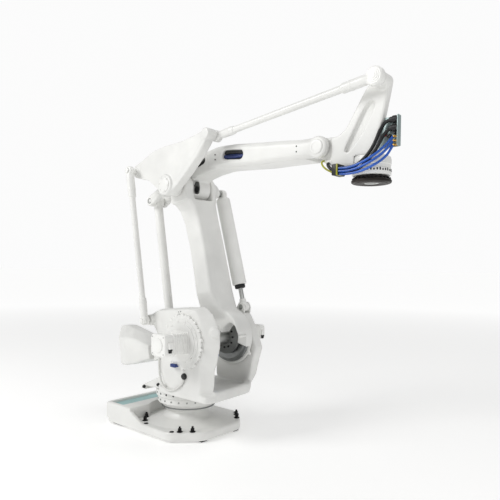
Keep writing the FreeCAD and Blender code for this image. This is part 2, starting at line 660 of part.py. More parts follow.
def make_balancer():
    """The balancing cylinder under its top eye, and the piston rod with its foot eye."""
    half = "(balancer_eye_width / 2)"
    near, far = f"balancer_plane - {half}", f"balancer_plane + {half}"
    neck_low = "balancer_eye_radius + 24"
    eye = shaft("CylinderEye", "balancer_eye_radius", near, far)
    neck = box("CylinderNeck", ("-balancer_eye_radius", near, f"-({neck_low})"),
               ("2 * balancer_eye_radius", "balancer_eye_width", neck_low))
    barrel = post("Barrel", "balancer_radius", f"-({neck_low}) - balancer_length",
                  "balancer_length", 0, "balancer_plane")
    bore = post("BarrelBore", "piston_rod_radius + bearing_gap",
                f"-({neck_low}) - balancer_length - 1", "balancer_length - 60",
                0, "balancer_plane")
    pin = shaft("CylinderPin", "balancer_pin_radius", "balancer_plane - balancer_radius",
                f"{far} + pin_head")
    cylinder = cut("BalancerCylinder", fuse("CylinderSolid", eye, neck, barrel, pin), bore)
    finish(balancer_piece(cylinder), "balancer_cylinder")
    span = (f"sqrt(pow({BALANCER_TOP[0]} - {BALANCER_FOOT[0]}; 2)"
            f" + pow({BALANCER_TOP[1]} - {BALANCER_FOOT[1]}; 2))")
    foot = ("0", f"-({span})")
    rod_low = f"-({span}) + balancer_eye_radius - 6"
    rod = post("PistonRod", "piston_rod_radius", rod_low,
               f"({span}) - balancer_eye_radius + 6 - ({neck_low}) - balancer_length"
               " + piston_rod_inside", 0, "balancer_plane")
    eye = shaft("RodEye", "balancer_eye_radius", near, far, foot)
    hole = shaft("RodEyeHole", "balancer_pin_radius + bearing_gap", f"{near} - 1",
                 f"{far} + 1", foot)
    piston = cut("BalancerRod", fuse("PistonSolid", rod, eye), hole)
    finish(balancer_piece(piston), "balancer_rod")


# ---------------------------------------------------------------- crank and parallel rod

def make_parallel_arm():
    """The crank on the shoulder axis, drawn level, with a clevis for the parallel rod."""
    eye = "(parallel_eye_width / 2)"
    near_in, far_in = f"-rod_plane - {eye} - side_gap", f"-rod_plane + {eye} + side_gap"
    hub = shaft("CrankHub", "crank_hub_radius", CRANK_HUB_NEAR, near_in)
    nose = shaft("CrankNose", "crank_nose_radius", CRANK_HUB_NEAR, "-crank_hub_far")
    lever = side_plate("CrankLever", [("-crank_length - 90", "-75"), ("0", "-120"),
                                      ("0", "120"), ("-crank_length", "60"),
                                      ("-crank_length - 90", "20")],
                       f"{near_in} - 40", near_in)
    far_cheek = side_plate("FarCheek", [("-crank_length - 90", "-75"), ("-crank_length", "-55"),
                                        ("60 - crank_length", "-20"), ("60 - crank_length", "30"),
                                        ("-crank_length", "55"), ("-crank_length - 90", "20")],
                           far_in, f"{far_in} + 34")
    bridge = side_plate("CrankBridge", [("-crank_length - 180", "-150"),
                                        ("-crank_length - 30", "-110"),
                                        ("-crank_length - 60", "-52"),
                                        ("-crank_length - 80", "-18"),
                                        ("-crank_length - 180", "16")],
                        f"{near_in} - 40", f"{far_in} + 34")
    centre = ("-crank_length", "0")
    bores = [shaft("CrankBore", "shoulder_shaft_radius + bearing_gap", f"{CRANK_HUB_NEAR} - 1", "0"),
             shaft("CrankPinBore", "crank_pin_radius + bearing_gap", f"{near_in} - 41",
                   f"{far_in} + 35", centre)]
    arm = cut("ParallelArm", fuse("ParallelArmSolid", hub, nose, lever, far_cheek, bridge), *bores)
    stand_at(arm, SHOULDER, "-upper_arm_rise - crank_angle")
    finish(arm, "parallel_arm")


def make_counterweight():
    """The weight behind the crank: a block that narrows to the back, its top sloping up."""
    profile = [("-1205", "-158"), ("-960", "-158"), ("-760", "-155"),
               ("-crank_length - 180 - seat_gap", "-120"),
               ("-crank_length - 180 - seat_gap", "10"), ("-860", "120"), ("-1000", "180"),
               ("-1120", "228"), ("-1205", "232")]
    block = side_plate("WeightBlock", profile, "-200", "68")
    bevel = new("PartDesign::Body", "WeightBevel")
    corner = [("-980", "-201"), ("-1206", "-201"), ("-1206", "-110")]
    pad(bevel, outline_sketch(bevel, "BevelOutline", "XY_Plane", corner, "-400"), "800")
    slope = new("PartDesign::Body", "WeightSlope")
    ridge = [("-201", "95"), ("-58", "235"), ("-58", "400"), ("-201", "400")]
    pad(slope, outline_sketch(slope, "SlopeOutline", "YZ_Plane", ridge, "-1300"), "1000")
    weight = cut("Counterweight", block, bevel, slope)
    stand_at(weight, SHOULDER, "-upper_arm_rise - crank_angle")
    finish(weight, "counterweight")


def make_parallel_rod():
    """The thick rod from the crank to the back of the upper arm, and its lower pin."""
    eye = "(parallel_eye_width / 2)"
    near_in, far_in = f"-rod_plane - {eye} - side_gap", f"-rod_plane + {eye} + side_gap"
    near, far = f"-rod_plane - {eye}", f"-rod_plane + {eye}"
    pin = shaft("CrankPin", "crank_pin_radius", f"{near_in} - 40", f"{far_in} + 34", CRANK_END)
    finish(pin, "crank_pin")
    top = ("0", "lower_arm_length")
    tube = post("RodTube", "parallel_rod_radius", "0", "lower_arm_length", 0, "-rod_plane")
    solid = fuse("RodSolid", tube, shaft("RodLowEye", "parallel_eye_radius", near, far),
                 shaft("RodTopEye", "parallel_eye_radius", near, far, top))
    rod = cut("ParallelRod", solid,
              shaft("RodLowHole", "crank_pin_radius + bearing_gap", f"{near} - 1", f"{far} + 1"),
              shaft("RodTopHole", "crank_pin_radius + open_gap", f"{near} - 1", f"{far} + 1",
                    top))
    stand_at(rod, CRANK_END, "-lower_arm_lean")
    finish(rod, "parallel_rod")


# ---------------------------------------------------------------- link and levelling rods

def make_link():
    """The triangular link on the elbow axis, its shaft and the pins of the two thin rods."""
    rear = ("-link_back", "link_back_rise")
    front = ("link_front", "link_front_rise")
    points = [("-link_back - 20", "link_back_rise - 40"), ("-150", "50"), ("-40", "-80"),
              ("60", "-70"), ("180", "0"), ("link_front + 30", "link_front_rise - 36"),
              ("link_front + 10", "link_front_rise + 42"), ("180", "link_front_rise - 28"),
              ("-180", "link_back_rise + 145"), ("-link_back - 10", "link_back_rise + 46")]
    plate = side_plate("LinkPlateOutline", points, "-link_plate_near", "-link_plate_far")
    front_edge = [("60", "-70"), ("180", "0"), ("link_front + 30", "link_front_rise - 36"),
                  ("link_front + 6", "link_front_rise - 20"), ("160", "14"), ("44", "-50")]
    rim = side_plate("LinkRim", front_edge, "-link_plate_near", "-link_rim_far")
    hub = shaft("LinkHub", "link_hub_radius", "-link_hub_near", "-near_ear_outer - seat_gap")
    rear_pin = shaft("LinkRearPin", "rod_pin_radius",
                     "-lower_rod_plane - lower_eye_width / 2 - pin_head", "-link_plate_near", rear)
    front_boss = shaft("LinkFrontBoss", "link_corner_radius", "-link_plate_far",
                       "-upper_rod_plane - sleeve_radius - side_gap", front)
    front_pin = shaft("LinkFrontPin", "rod_pin_radius", "-link_plate_far",
                      "-upper_rod_plane + upper_eye_width / 2 + 8", front)
    solid = fuse("LinkSolid", plate, rim, hub, rear_pin, front_boss, front_pin)
    bore = shaft("LinkBore", "elbow_shaft_radius + bearing_gap", "-link_hub_near - 1", "0")
    stand_at(finish(cut("Link", solid, bore), "link_plate"), ELBOW)
    finish(shaft("ElbowShaft", "elbow_shaft_radius", "-link_hub_near", "far_ear_outer", ELBOW),
           "elbow_shaft")


def thin_rod(name, label, length, angle, centre, plane, radius, low_eye, high_eye, width,
             low_hole, high_hole):
    """A tube with a sleeve and an eye at each end, drawn upright about its low pivot."""
    near, far = f"-{plane} - {width} / 2", f"-{plane} + {width} / 2"
    top = ("0", length)
    parts = [post(name + "Tube", radius, "0", length, 0, f"-{plane}"),
             post(name + "LowSleeve", "sleeve_radius - 4", "0", "sleeve_length", 0, f"-{plane}"),
             post(name + "TopSleeve", "sleeve_radius", f"{length} - sleeve_length",
                  "sleeve_length", 0, f"-{plane}"),
             shaft(name + "LowEye", low_eye, near, far),
             shaft(name + "TopEye", high_eye, near, far, top)]
    reach = "(sleeve_radius + pin_reach)"
    holes = [shaft(name + "LowHole", f"rod_pin_radius + {low_hole}", f"-{plane} - {reach}",
                   f"-{plane} + {reach}"),
             shaft(name + "TopHole", f"rod_pin_radius + {high_hole}", f"-{plane} - {reach}",
                   f"-{plane} + {reach}", top)]
    rod = cut(name, fuse(name + "Solid", *parts), *holes)
    stand_at(rod, centre, angle)
    finish(rod, label)


def make_levelling_rods():
    """The two thin rods that keep the link and the wrist level."""
    thin_rod("LowerRod", "lower_rod", "lower_arm_length", "-lower_arm_lean", ROD_FOOT,
             "lower_rod_plane", "lower_rod_radius", "lower_eye_radius", "lower_eye_radius",
             "lower_eye_width", "bearing_gap", "open_gap")
    thin_rod("UpperRod", "upper_rod", "upper_arm_length", "90 - upper_arm_rise", LINK_FRONT_END,
             "upper_rod_plane", "upper_rod_radius", "upper_eye_radius",
             "upper_front_eye_radius", "upper_eye_width", "bearing_gap", "open_gap")


# ---------------------------------------------------------------- upper arm

def make_upper_arm():
    """The long arm casting, drawn along X from the elbow, with a fork at each end."""
    outline = [("-60", "20"), ("60", "20"), ("150", "62"), ("260", "74"), ("400", "74"),
               ("609", "44"), ("upper_arm_length - 288", "-20"),
               ("upper_arm_length - 147", "-45"), ("upper_arm_length", "-70"),
               ("upper_arm_length", "70"), ("upper_arm_length - 140", "88"), ("609", "219"),
               ("300", "235"), ("60", "190"), ("-100", "130")]
    beam = side_plate("ArmBeam", outline, "-near_ear_inner + side_gap",
                      "far_ear_inner - side_gap")
    hub = shaft("ArmHub", "elbow_hub_radius", "-near_ear_inner + side_gap",
                "far_ear_inner - side_gap")
    wide = side_plate("ArmWide", [("260", "74"), ("400", "74"), ("609", "44"),
                                  ("upper_arm_length - 288", "-20"),
                                  ("upper_arm_length - 147", "-45"), ("upper_arm_length", "-70"),
                                  ("upper_arm_length", "70"), ("upper_arm_length - 140", "88"),
                                  ("609", "219"), ("300", "228")], "-arm_near", "arm_far")
    tip = ("upper_arm_length", "0")
    nose = shaft("ArmNose", "wrist_ear_radius", "-arm_near", "arm_far", tip)
    eye = "(parallel_eye_width / 2)"
    near_in, far_in = f"-rod_plane - {eye} - side_gap", f"-rod_plane + {eye} + side_gap"
    rear_x, rear_z = "-crank_length * cos(crank_angle)", "-crank_length * sin(crank_angle)"
    lug_points = [(f"{rear_x} + 20", f"{rear_z} - parallel_eye_radius + 2"),
                  ("-105", "84"), ("0", "126"), ("60", "190"), ("-100", "136"),
                  (f"{rear_x} - 10", f"{rear_z} + parallel_eye_radius")]
    lug = side_plate("RearLug", lug_points, f"{near_in} - clevis_ear", f"{far_in} + clevis_ear")
    rear = (rear_x, rear_z)
    lug_end = shaft("LugEnd", "parallel_eye_radius", f"{near_in} - clevis_ear",
                    f"{far_in} + clevis_ear", rear)
    solid = fuse("UpperArmSolid", beam, hub, wide, nose, lug, lug_end)
    rod_space = box("RodSpace", (f"{rear_x} - 80", near_in, f"{rear_z} - 80"),
                    ("80 + rod_slot", f"({far_in}) - ({near_in})", "240"))
    wrist_space = box("WristSpace", ("upper_arm_length - 130", "-wrist_ear_inner", "-150"),
                      ("260", "wrist_ear_inner + wrist_ear_far_inner", "300"))
    bores = [shaft("ArmElbowBore", "elbow_shaft_radius + bearing_gap", "-arm_near", "arm_far"),
             shaft("ArmWristBore", "wrist_shaft_radius + bearing_gap", "-arm_near - 1",
                   "arm_far + 1", tip),
             shaft("RearPinBore", "crank_pin_radius + bearing_gap",
                   f"{near_in} - clevis_ear - 1", f"{far_in} + clevis_ear + 1", rear)]
    arm = cut("UpperArm", solid, rod_space, wrist_space, *bores)
    stand_at(arm, ELBOW, "-upper_arm_rise")
    finish(arm, "upper_arm")
    pin = shaft("RearPin", "crank_pin_radius", f"{near_in} - clevis_ear",
                f"{far_in} + clevis_ear", ARM_REAR_END)
    finish(pin, "rear_pin")
    cover = shaft("WristCover", "wrist_cover_radius", "-arm_near - wrist_cover_depth",
                  "-arm_near", WRIST)
    finish(cover, "wrist_cover")


# ---------------------------------------------------------------- wrist

def make_tilt_house():
    """The casting that carries the tool disc and keeps level, drawn about the wrist axis."""
    head = ("link_front", "link_front_rise")
    points = [("0", "-67"), ("40", "-118"), ("140", "-154"), ("265", "-150"), ("357", "-94"),
              ("425", "-10"), ("462", "107"), ("link_front + 48", "link_front_rise - 20"),
              ("link_front + 20", "link_front_rise + 48"), ("link_front - 60", "link_front_rise + 40"),
              ("link_front - 115", "link_front_rise - 15"), ("200", "100"), ("127", "56"),
              ("0", "67")]
    web = side_plate("HouseWeb", points, "-house_half_width", "house_web - house_half_width")
    low = [("0", "-67"), ("40", "-118"), ("140", "-154"), ("265", "-150"), ("357", "-94"),
           ("400", "-40"), ("400", "50"), ("340", "112"), ("230", "104"), ("127", "56"),
           ("0", "67")]
    body = side_plate("HouseBelly", low, "-house_half_width", "wrist_ear_far_inner - side_gap")
    hub = shaft("HouseHub", "house_hub_radius", "-wrist_ear_inner + side_gap",
                "wrist_ear_far_inner - side_gap")
    head_boss = shaft("HeadBoss", "link_corner_radius",
                      "-upper_rod_plane + sleeve_radius + side_gap", "-house_half_width + 1",
                      head)
    head_pin = shaft("HeadPin", "rod_pin_radius", "-upper_rod_plane - upper_eye_width / 2 - pin_head",
                     "-house_half_width + 1", head)
    bore = shaft("HouseBore", "wrist_shaft_radius + bearing_gap", "-arm_near", "arm_far")
    turret_space = post("TurretSpace", "turret_radius + seat_gap", "-tool_drop",
                        "turret_top + seat_gap", "tool_reach")
    house = cut("TiltHouse", fuse("HouseSolid", web, body, hub, head_boss, head_pin), bore,
                turret_space)
    finish(stand_at(house, WRIST), "tilt_house")
    finish(shaft("WristShaft", "wrist_shaft_radius", "-arm_near", "arm_far", WRIST),
           "wrist_shaft")
    return house


def make_wrist_hoses():
    """The clamp under the tilt house and the hoses and earth lead that it holds."""
    clamp = box("HoseClamp", (f"{WRIST[0]} + clamp_back", "-house_half_width - clamp_depth",
                              f"{WRIST[1]} - clamp_low"),
                ("clamp_front - clamp_back", "clamp_depth", "clamp_low - clamp_high"))
    finish(clamp, "hose_clamp")
    hoses("BlackHose", BLACK_HOSES, WRIST, "black_hoses")
    hoses("BlueHose", BLUE_HOSES, WRIST, "blue_hoses")
    hoses("EarthLoop", EARTH_LOOP, WRIST, "earth_loop")


def make_connectors(house):
    """The folded sheet in front of the wrist, with two round plugs and three fittings."""
    sheet = box("PanelSheet", (f"{WRIST[0]} + panel_back", "-panel_inner", f"{WRIST[1]} - panel_low"),
                ("panel_front - panel_back", "panel_sheet", "panel_low + panel_high"))
    flange = box("PanelFlange", (f"{WRIST[0]} + panel_front", "-panel_outer",
                                 f"{WRIST[1]} - panel_low"),
                 ("panel_sheet", "panel_outer - panel_inner + panel_sheet",
                  "panel_low + panel_high"))
    finish(cut("ConnectorPlate", fuse("PanelSolid", sheet, flange), house), "connector_plate")
    front = f"{WRIST[0]} + panel_front"
    plugs = [shaft_forward(f"RoundPlug{rise}", "big_plug_radius",
                           f"{front} - big_plug_length", front, "-plug_plane",
                           f"{WRIST[1]} + {rise}") for rise in ROUND_PLUG_RISES]
    plugs += [shaft_forward(f"Fitting{drop}", "fitting_radius", f"{front} - fitting_length",
                            front, "-plug_plane", f"{WRIST[1]} - {drop}")
              for drop in FITTING_DROPS]
    group = new("Part::Compound", "PlugConnectors")
    group.Links = plugs
    finish(group, "plug_connectors")


def make_tool_turret():
    """The upright housing under the tilt house and the disc that turns in it."""
    turret = post("Turret", "turret_radius", f"{TOOL[1]} + turret_low",
                  "turret_top - turret_low", TOOL[0])
    socket = post("TurretSocket", "spindle_radius + bearing_gap", f"{TOOL[1]} + turret_low - 1",
                  "spindle_top + 1 + seat_gap - turret_low", TOOL[0])
    finish(cut("WristTurret", turret, socket), "wrist_turret")
    disc = fuse("DiscSolid", post("Disc", "disc_radius", TOOL[1], "disc_height", TOOL[0]),
                post("Collar", "collar_radius", TOOL[1], "collar_top", TOOL[0]),
                post("Spindle", "spindle_radius", TOOL[1], "spindle_top", TOOL[0]))
    holes = [post("ToolBore", "tool_bore_radius", f"{TOOL[1]} - 1", "tool_bore_depth + 1",
                  TOOL[0])]
    for i in range(6):
        holes.append(post(f"ToolBolt{i}", "tool_bolt_radius", f"{TOOL[1]} - 1",
                          "tool_bolt_depth + 1", f"{TOOL[0]} + tool_bolt_circle / 2 * cos({60 * i})",
                          f"tool_bolt_circle / 2 * sin({60 * i})"))
    finish(cut("TurningDisc", disc, *holes), "turning_disc")


def build():
    """Make every sub-part."""
    make_base_plate()
    make_foot_pads()
    make_pedestal()
    make_cable_box()
    make_turning_flange()
    make_frame()
    make_shoulder_drives()
    make_rear_housing()
    make_frame_leads()
    make_rod_brackets()
    make_lower_arm()
    make_elbow_cover()
    make_balancer()
    make_parallel_arm()
    make_counterweight()
    make_parallel_rod()
    make_link()
    make_levelling_rods()
    make_upper_arm()
    house = make_tilt_house()
    make_wrist_hoses()
    make_connectors(house)
    make_tool_turret()


def check_and_write():
    """Stop if any object failed or any shape is not sound, then write the files."""
    DOC.recompute()
    for item in DOC.Objects:
        if "Invalid" in item.State or "Error" in item.State:
            raise RuntimeError(f"{item.Label} failed: {item.State}")
    for item in FINISHED:
        if item.Shape.isNull() or not item.Shape.isValid() or not item.Shape.Solids:
            raise RuntimeError(f"{item.Label} has no sound shape")
    os.makedirs("parts", exist_ok=True)
    for item in FINISHED:
        item.Shape.exportStep(os.path.join("parts", item.Label + ".step"))
        print(f"{item.Label}: {len(item.Shape.Solids)} solid(s), {item.Shape.Volume / 1e9:.5f} m3")


build()
check_and_write()
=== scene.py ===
"""Looks of a palletizing robot arm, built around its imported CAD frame.

Every length here is in millimetres until a mesh is written, which is in metres.  +X is the way
the arm reaches, +Z is up and -Y is the side of the levelling rods.  Castings are unions of plain
numpy surfaces that are melted into one skin, which gives the soft fillets of a sand casting.
"""

import json
import logging
import math
from dataclasses import dataclass, field
from enum import Enum

import bpy
import numpy as np
from mathutils import Matrix, Vector

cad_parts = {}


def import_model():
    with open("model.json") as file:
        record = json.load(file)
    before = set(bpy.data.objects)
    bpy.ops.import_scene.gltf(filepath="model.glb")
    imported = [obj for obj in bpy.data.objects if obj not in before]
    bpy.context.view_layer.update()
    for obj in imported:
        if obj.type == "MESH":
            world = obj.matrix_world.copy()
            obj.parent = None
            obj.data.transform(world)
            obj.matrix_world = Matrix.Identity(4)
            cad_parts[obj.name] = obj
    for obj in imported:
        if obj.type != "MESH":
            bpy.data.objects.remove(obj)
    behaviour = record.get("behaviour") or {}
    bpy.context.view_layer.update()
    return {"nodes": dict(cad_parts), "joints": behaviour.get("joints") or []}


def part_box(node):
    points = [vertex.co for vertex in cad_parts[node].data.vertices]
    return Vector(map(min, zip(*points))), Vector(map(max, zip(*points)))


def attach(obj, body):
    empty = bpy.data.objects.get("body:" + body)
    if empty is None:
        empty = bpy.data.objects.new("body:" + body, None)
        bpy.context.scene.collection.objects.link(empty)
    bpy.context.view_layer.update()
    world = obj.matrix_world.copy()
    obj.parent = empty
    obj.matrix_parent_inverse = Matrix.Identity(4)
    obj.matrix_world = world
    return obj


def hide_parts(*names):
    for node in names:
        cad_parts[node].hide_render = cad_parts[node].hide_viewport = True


MM = 0.001
LOG = logging.getLogger("robot")


# ---------------------------------------------------------------- finishes

class Grain(Enum):
    """How a surface was made, which decides the pattern of its bump."""

    ENAMEL = "sprayed"
    CAST = "sand cast"
    BRUSHED = "ground"
    MOULDED = "moulded"


@dataclass(frozen=True)
class Finish:
    """One real finish.

    Attributes:
        name: What the finish is.
        colour: sRGB hex of its body colour.
        metallic: 1 for bare metal, 0 for paint, plastic and rubber.
        roughness: Middle roughness of the surface.
        grain: How the surface was made.
        grain_mm: Size of one feature of its pattern.
        depth_mm: Height of that pattern.
        tone: Share by which the colour drifts over the piece.
        coat: Strength of a clear top coat.
    """

    name: str
    colour: str
    metallic: float
    roughness: float
    grain: Grain
    grain_mm: float
    depth_mm: float
    tone: float = 0.03
    coat: float = 0.0


# two-part polyurethane enamel on machined or smooth cast iron: satin, almost no texture
WHITE_ENAMEL = Finish("white_enamel", "#E9E9E6", 0.0, 0.34, Grain.ENAMEL, 9.0, 0.05, 0.02, 0.12)
# the same enamel over a rougher sand casting: small dimples show through the paint
CAST_ENAMEL = Finish("cast_white_enamel", "#E4E4E1", 0.0, 0.40, Grain.CAST, 7.0, 0.16, 0.03, 0.08)
# motor paint, a little whiter and glossier than the castings
MOTOR_ENAMEL = Finish("motor_enamel", "#EFEFEC", 0.0, 0.28, Grain.ENAMEL, 6.0, 0.03, 0.015, 0.25)
# bare machined face of a gearbox, filmed with oil
GEAR_IRON = Finish("machined_gear_iron", "#8E9090", 1.0, 0.42, Grain.BRUSHED, 3.0, 0.03, 0.08)
# ground and chromed piston rod and pins
GROUND_STEEL = Finish("ground_steel", "#C3C4C2", 1.0, 0.26, Grain.BRUSHED, 1.6, 0.012, 0.05)
# zinc-plated screws of the covers
PLATED_STEEL = Finish("zinc_plated_steel", "#A9ABA8", 1.0, 0.35, Grain.BRUSHED, 1.5, 0.02, 0.08)
# phosphated, oiled tool disc: nearly black with a brown cast
PHOSPHATED = Finish("phosphated_steel", "#35302D", 0.75, 0.46, Grain.BRUSHED, 4.0, 0.05, 0.25)
# black oxide bolts and washers
BLACK_OXIDE = Finish("black_oxide_steel", "#131314", 0.6, 0.42, Grain.MOULDED, 2.0, 0.03, 0.1)
# glass-filled nylon plugs and glands
BLACK_NYLON = Finish("black_nylon", "#121315", 0.0, 0.48, Grain.MOULDED, 1.2, 0.04, 0.08)
# rubber cable jacket
BLACK_RUBBER = Finish("black_rubber", "#0E0F11", 0.0, 0.55, Grain.MOULDED, 2.0, 0.05, 0.1)
# polyurethane air hose, smooth and slightly glossy
BLUE_HOSE = Finish("blue_polyurethane", "#1657B8", 0.0, 0.30, Grain.MOULDED, 2.5, 0.015, 0.1, 0.2)
DEEP_BLUE = Finish("deep_blue_nylon", "#0D2A6B", 0.0, 0.36, Grain.MOULDED, 2.0, 0.02, 0.1, 0.1)
# yellow-green earth lead
EARTH_LEAD = Finish("earth_lead_pvc", "#B7B514", 0.0, 0.38, Grain.MOULDED, 2.0, 0.02, 0.12)
# pale blue-green lacquer of the cable tray and the connector plate
TEAL_LACQUER = Finish("teal_lacquer", "#A3C6C6", 0.0, 0.36, Grain.ENAMEL, 6.0, 0.03, 0.06, 0.1)
PLATE_LACQUER = Finish("grey_green_lacquer", "#9FB0AF", 0.35, 0.34, Grain.ENAMEL, 6.0, 0.02, 0.06)
# turned brass fittings
BRASS = Finish("turned_brass", "#B08A45", 1.0, 0.30, Grain.BRUSHED, 1.5, 0.015, 0.08)
RED_CAP = Finish("red_nylon", "#A3261C", 0.0, 0.4, Grain.MOULDED, 2.0, 0.02, 0.05)
# white PVC jacket of the motor lead
WHITE_LEAD = Finish("white_pvc_lead", "#DADAD6", 0.0, 0.42, Grain.MOULDED, 2.5, 0.02, 0.03)
# painted shade: the white paint darkened to stand in for the unlit inside of a casting
SHADE_PAINT = Finish("painted_shade_grey", "#6F716F", 0.0, 0.7, Grain.CAST, 8.0, 0.2, 0.15)


def linear(colour: str) -> tuple[float, float, float, float]:
    """Turn an sRGB hex colour into linear light.

    Args:
        colour: Hex text such as "#E9E9E6".

    Returns:
        Red, green, blue and alpha in linear light.
    """
    parts = np.array([int(colour[i:i + 2], 16) for i in (1, 3, 5)]) / 255
    light = np.where(parts <= 0.04045, parts / 12.92, ((parts + 0.055) / 1.055) ** 2.4)
    return (*light.tolist(), 1.0)


def add_node(tree: bpy.types.NodeTree, kind: str, settings: dict | None = None,
             links: dict | None = None) -> bpy.types.Node:
    """Add a node with its settings and its incoming links.

    Args:
        tree: The node tree.
        kind: Type name of the node.
        settings: Values by property name, or by input name where no property has it.
        links: Output sockets by the name of the input they feed.

    Returns:
        The node.
    """
    node = tree.nodes.new(kind)
    for name, value in (settings or {}).items():
        if hasattr(node, name):
            setattr(node, name, value)
        else:
            node.inputs[name].default_value = value
    for name, socket in (links or {}).items():
        tree.links.new(socket, node.inputs[name])
    return node


@dataclass
class Paintshop:
    """Makes each finish's material once and hands it out."""

    made: dict[str, bpy.types.Material] = field(default_factory=dict)

    def material(self, finish: Finish) -> bpy.types.Material:
        """Return the material of a finish, made on first use.

        Args:
            finish: The finish.

        Returns:
            The Blender material.
        """
        if finish.name not in self.made:
            self.made[finish.name] = self._mix(finish)
        return self.made[finish.name]

    def _mix(self, finish: Finish) -> bpy.types.Material:
        """Build the node tree: slow drift of tone, mottled roughness and a fine bump."""
        material = bpy.data.materials.new(finish.name)
        material.use_nodes = True
        tree = material.node_tree
        shader = tree.nodes["Principled BSDF"]
        shader.inputs["Metallic"].default_value = finish.metallic
        shader.inputs["Coat Weight"].default_value = finish.coat
        shader.inputs["Coat Roughness"].default_value = 0.12
        place = add_node(tree, "ShaderNodeTexCoord").outputs["Object"]
        if finish.grain is Grain.BRUSHED:
            place = add_node(tree, "ShaderNodeMapping", {"Scale": (1.0, 0.12, 1.0)},
                             {"Vector": place}).outputs["Vector"]
        drift = add_node(tree, "ShaderNodeTexNoise", {"Scale": 3.2, "Detail": 3.0},
                         {"Vector": place})
        fine = add_node(tree, "ShaderNodeTexNoise",
                        {"Scale": 1.0 / (finish.grain_mm * MM), "Detail": 2.0},
                        {"Vector": place})
        body = linear(finish.colour)
        darker = tuple(c * (1 - finish.tone * 4) for c in body[:3]) + (1.0,)
        brighter = tuple(min(1.0, c * (1 + finish.tone)) for c in body[:3]) + (1.0,)
        ramp = add_node(tree, "ShaderNodeValToRGB", {}, {"Fac": drift.outputs["Fac"]})
        ramp.color_ramp.elements[0].position = 0.25
        ramp.color_ramp.elements[0].color = darker
        ramp.color_ramp.elements[1].position = 0.62
        ramp.color_ramp.elements[1].color = brighter
        tree.links.new(ramp.outputs["Color"], shader.inputs["Base Color"])
        rough = add_node(tree, "ShaderNodeMapRange",
                         {"From Min": 0.3, "From Max": 0.7, "To Min": finish.roughness - 0.05,
                          "To Max": finish.roughness + 0.07}, {"Value": drift.outputs["Fac"]})
        tree.links.new(rough.outputs["Result"], shader.inputs["Roughness"])
        bump = add_node(tree, "ShaderNodeBump",
                        {"Strength": 0.5, "Distance": finish.depth_mm * MM},
                        {"Height": fine.outputs["Fac"]})
        tree.links.new(bump.outputs["Normal"], shader.inputs["Normal"])
        return material


# ---------------------------------------------------------------- surfaces

@dataclass
class Shape:
    """A closed surface: points as rows of X, Y, Z in millimetres, and faces of point numbers."""

    points: np.ndarray
    faces: list[list[int]]

    def moved(self, x: float = 0, y: float = 0, z: float = 0) -> "Shape":
        """Shift every point."""
        return Shape(self.points + np.array([x, y, z], float), self.faces)

    def turned(self, degrees: float, pivot: tuple[float, float, float],
               axis: int = 1) -> "Shape":
        """Turn about a line through a point, right-handed about X, Y or Z.

        Args:
            degrees: The angle.
            pivot: A point on the line.
            axis: 0, 1 or 2 for X, Y or Z.

        Returns:
            The turned shape.
        """
        a, b = [(1, 2), (2, 0), (0, 1)][axis]
        cos, sin = math.cos(math.radians(degrees)), math.sin(math.radians(degrees))
        local = self.points - np.array(pivot, float)
        out = local.copy()
        out[:, a] = cos * local[:, a] - sin * local[:, b]
        out[:, b] = sin * local[:, a] + cos * local[:, b]
        return Shape(out + np.array(pivot, float), self.faces)


def joined(shapes: list[Shape]) -> Shape:
    """Put several shapes in one, with their faces renumbered."""
    faces, start = [], 0
    for shape in shapes:
        faces += [[i + start for i in face] for face in shape.faces]
        start += len(shape.points)
    return Shape(np.concatenate([shape.points for shape in shapes]), faces)


def skin(rings: np.ndarray) -> Shape:
    """Skin rings of points with quads and close both ends with flat faces.

    Point j of ring i meets point j of ring i+1; the last point of a ring meets its first.

    Args:
        rings: Array of shape (rings, points, 3), running so that the faces point outwards.

    Returns:
        The closed surface.
    """
    count, around = rings.shape[:2]
    i, j = np.meshgrid(np.arange(count - 1), np.arange(around), indexing="ij")
    k = (j + 1) % around
    quads = np.stack([i * around + j, i * around + k, (i + 1) * around + k,
                      (i + 1) * around + j], -1).reshape(-1, 4)
    last = (count - 1) * around
    faces = quads.tolist() + [list(range(around))[::-1], list(range(last, last + around))]
    return oriented(Shape(rings.reshape(-1, 3), faces))


def loft(sections: list[tuple[float, np.ndarray]], axis: int) -> Shape:
    """Carry outlines of one point count through their places along an axis."""
    return skin(np.stack([np.insert(section, axis, place, axis=1)
                          for place, section in sections]))


def oriented(shape: Shape) -> Shape:
    """Flip a closed shape that is inside out: its signed volume is the sum of its fans."""
    total = 0.0
    for face in shape.faces:
        corners = shape.points[face]
        fan = np.cross(corners[1:-1] - corners[0], corners[2:] - corners[0])
        total += float((fan @ corners[0]).sum())
    if total < 0:
        return Shape(shape.points, [face[::-1] for face in shape.faces])
    return shape


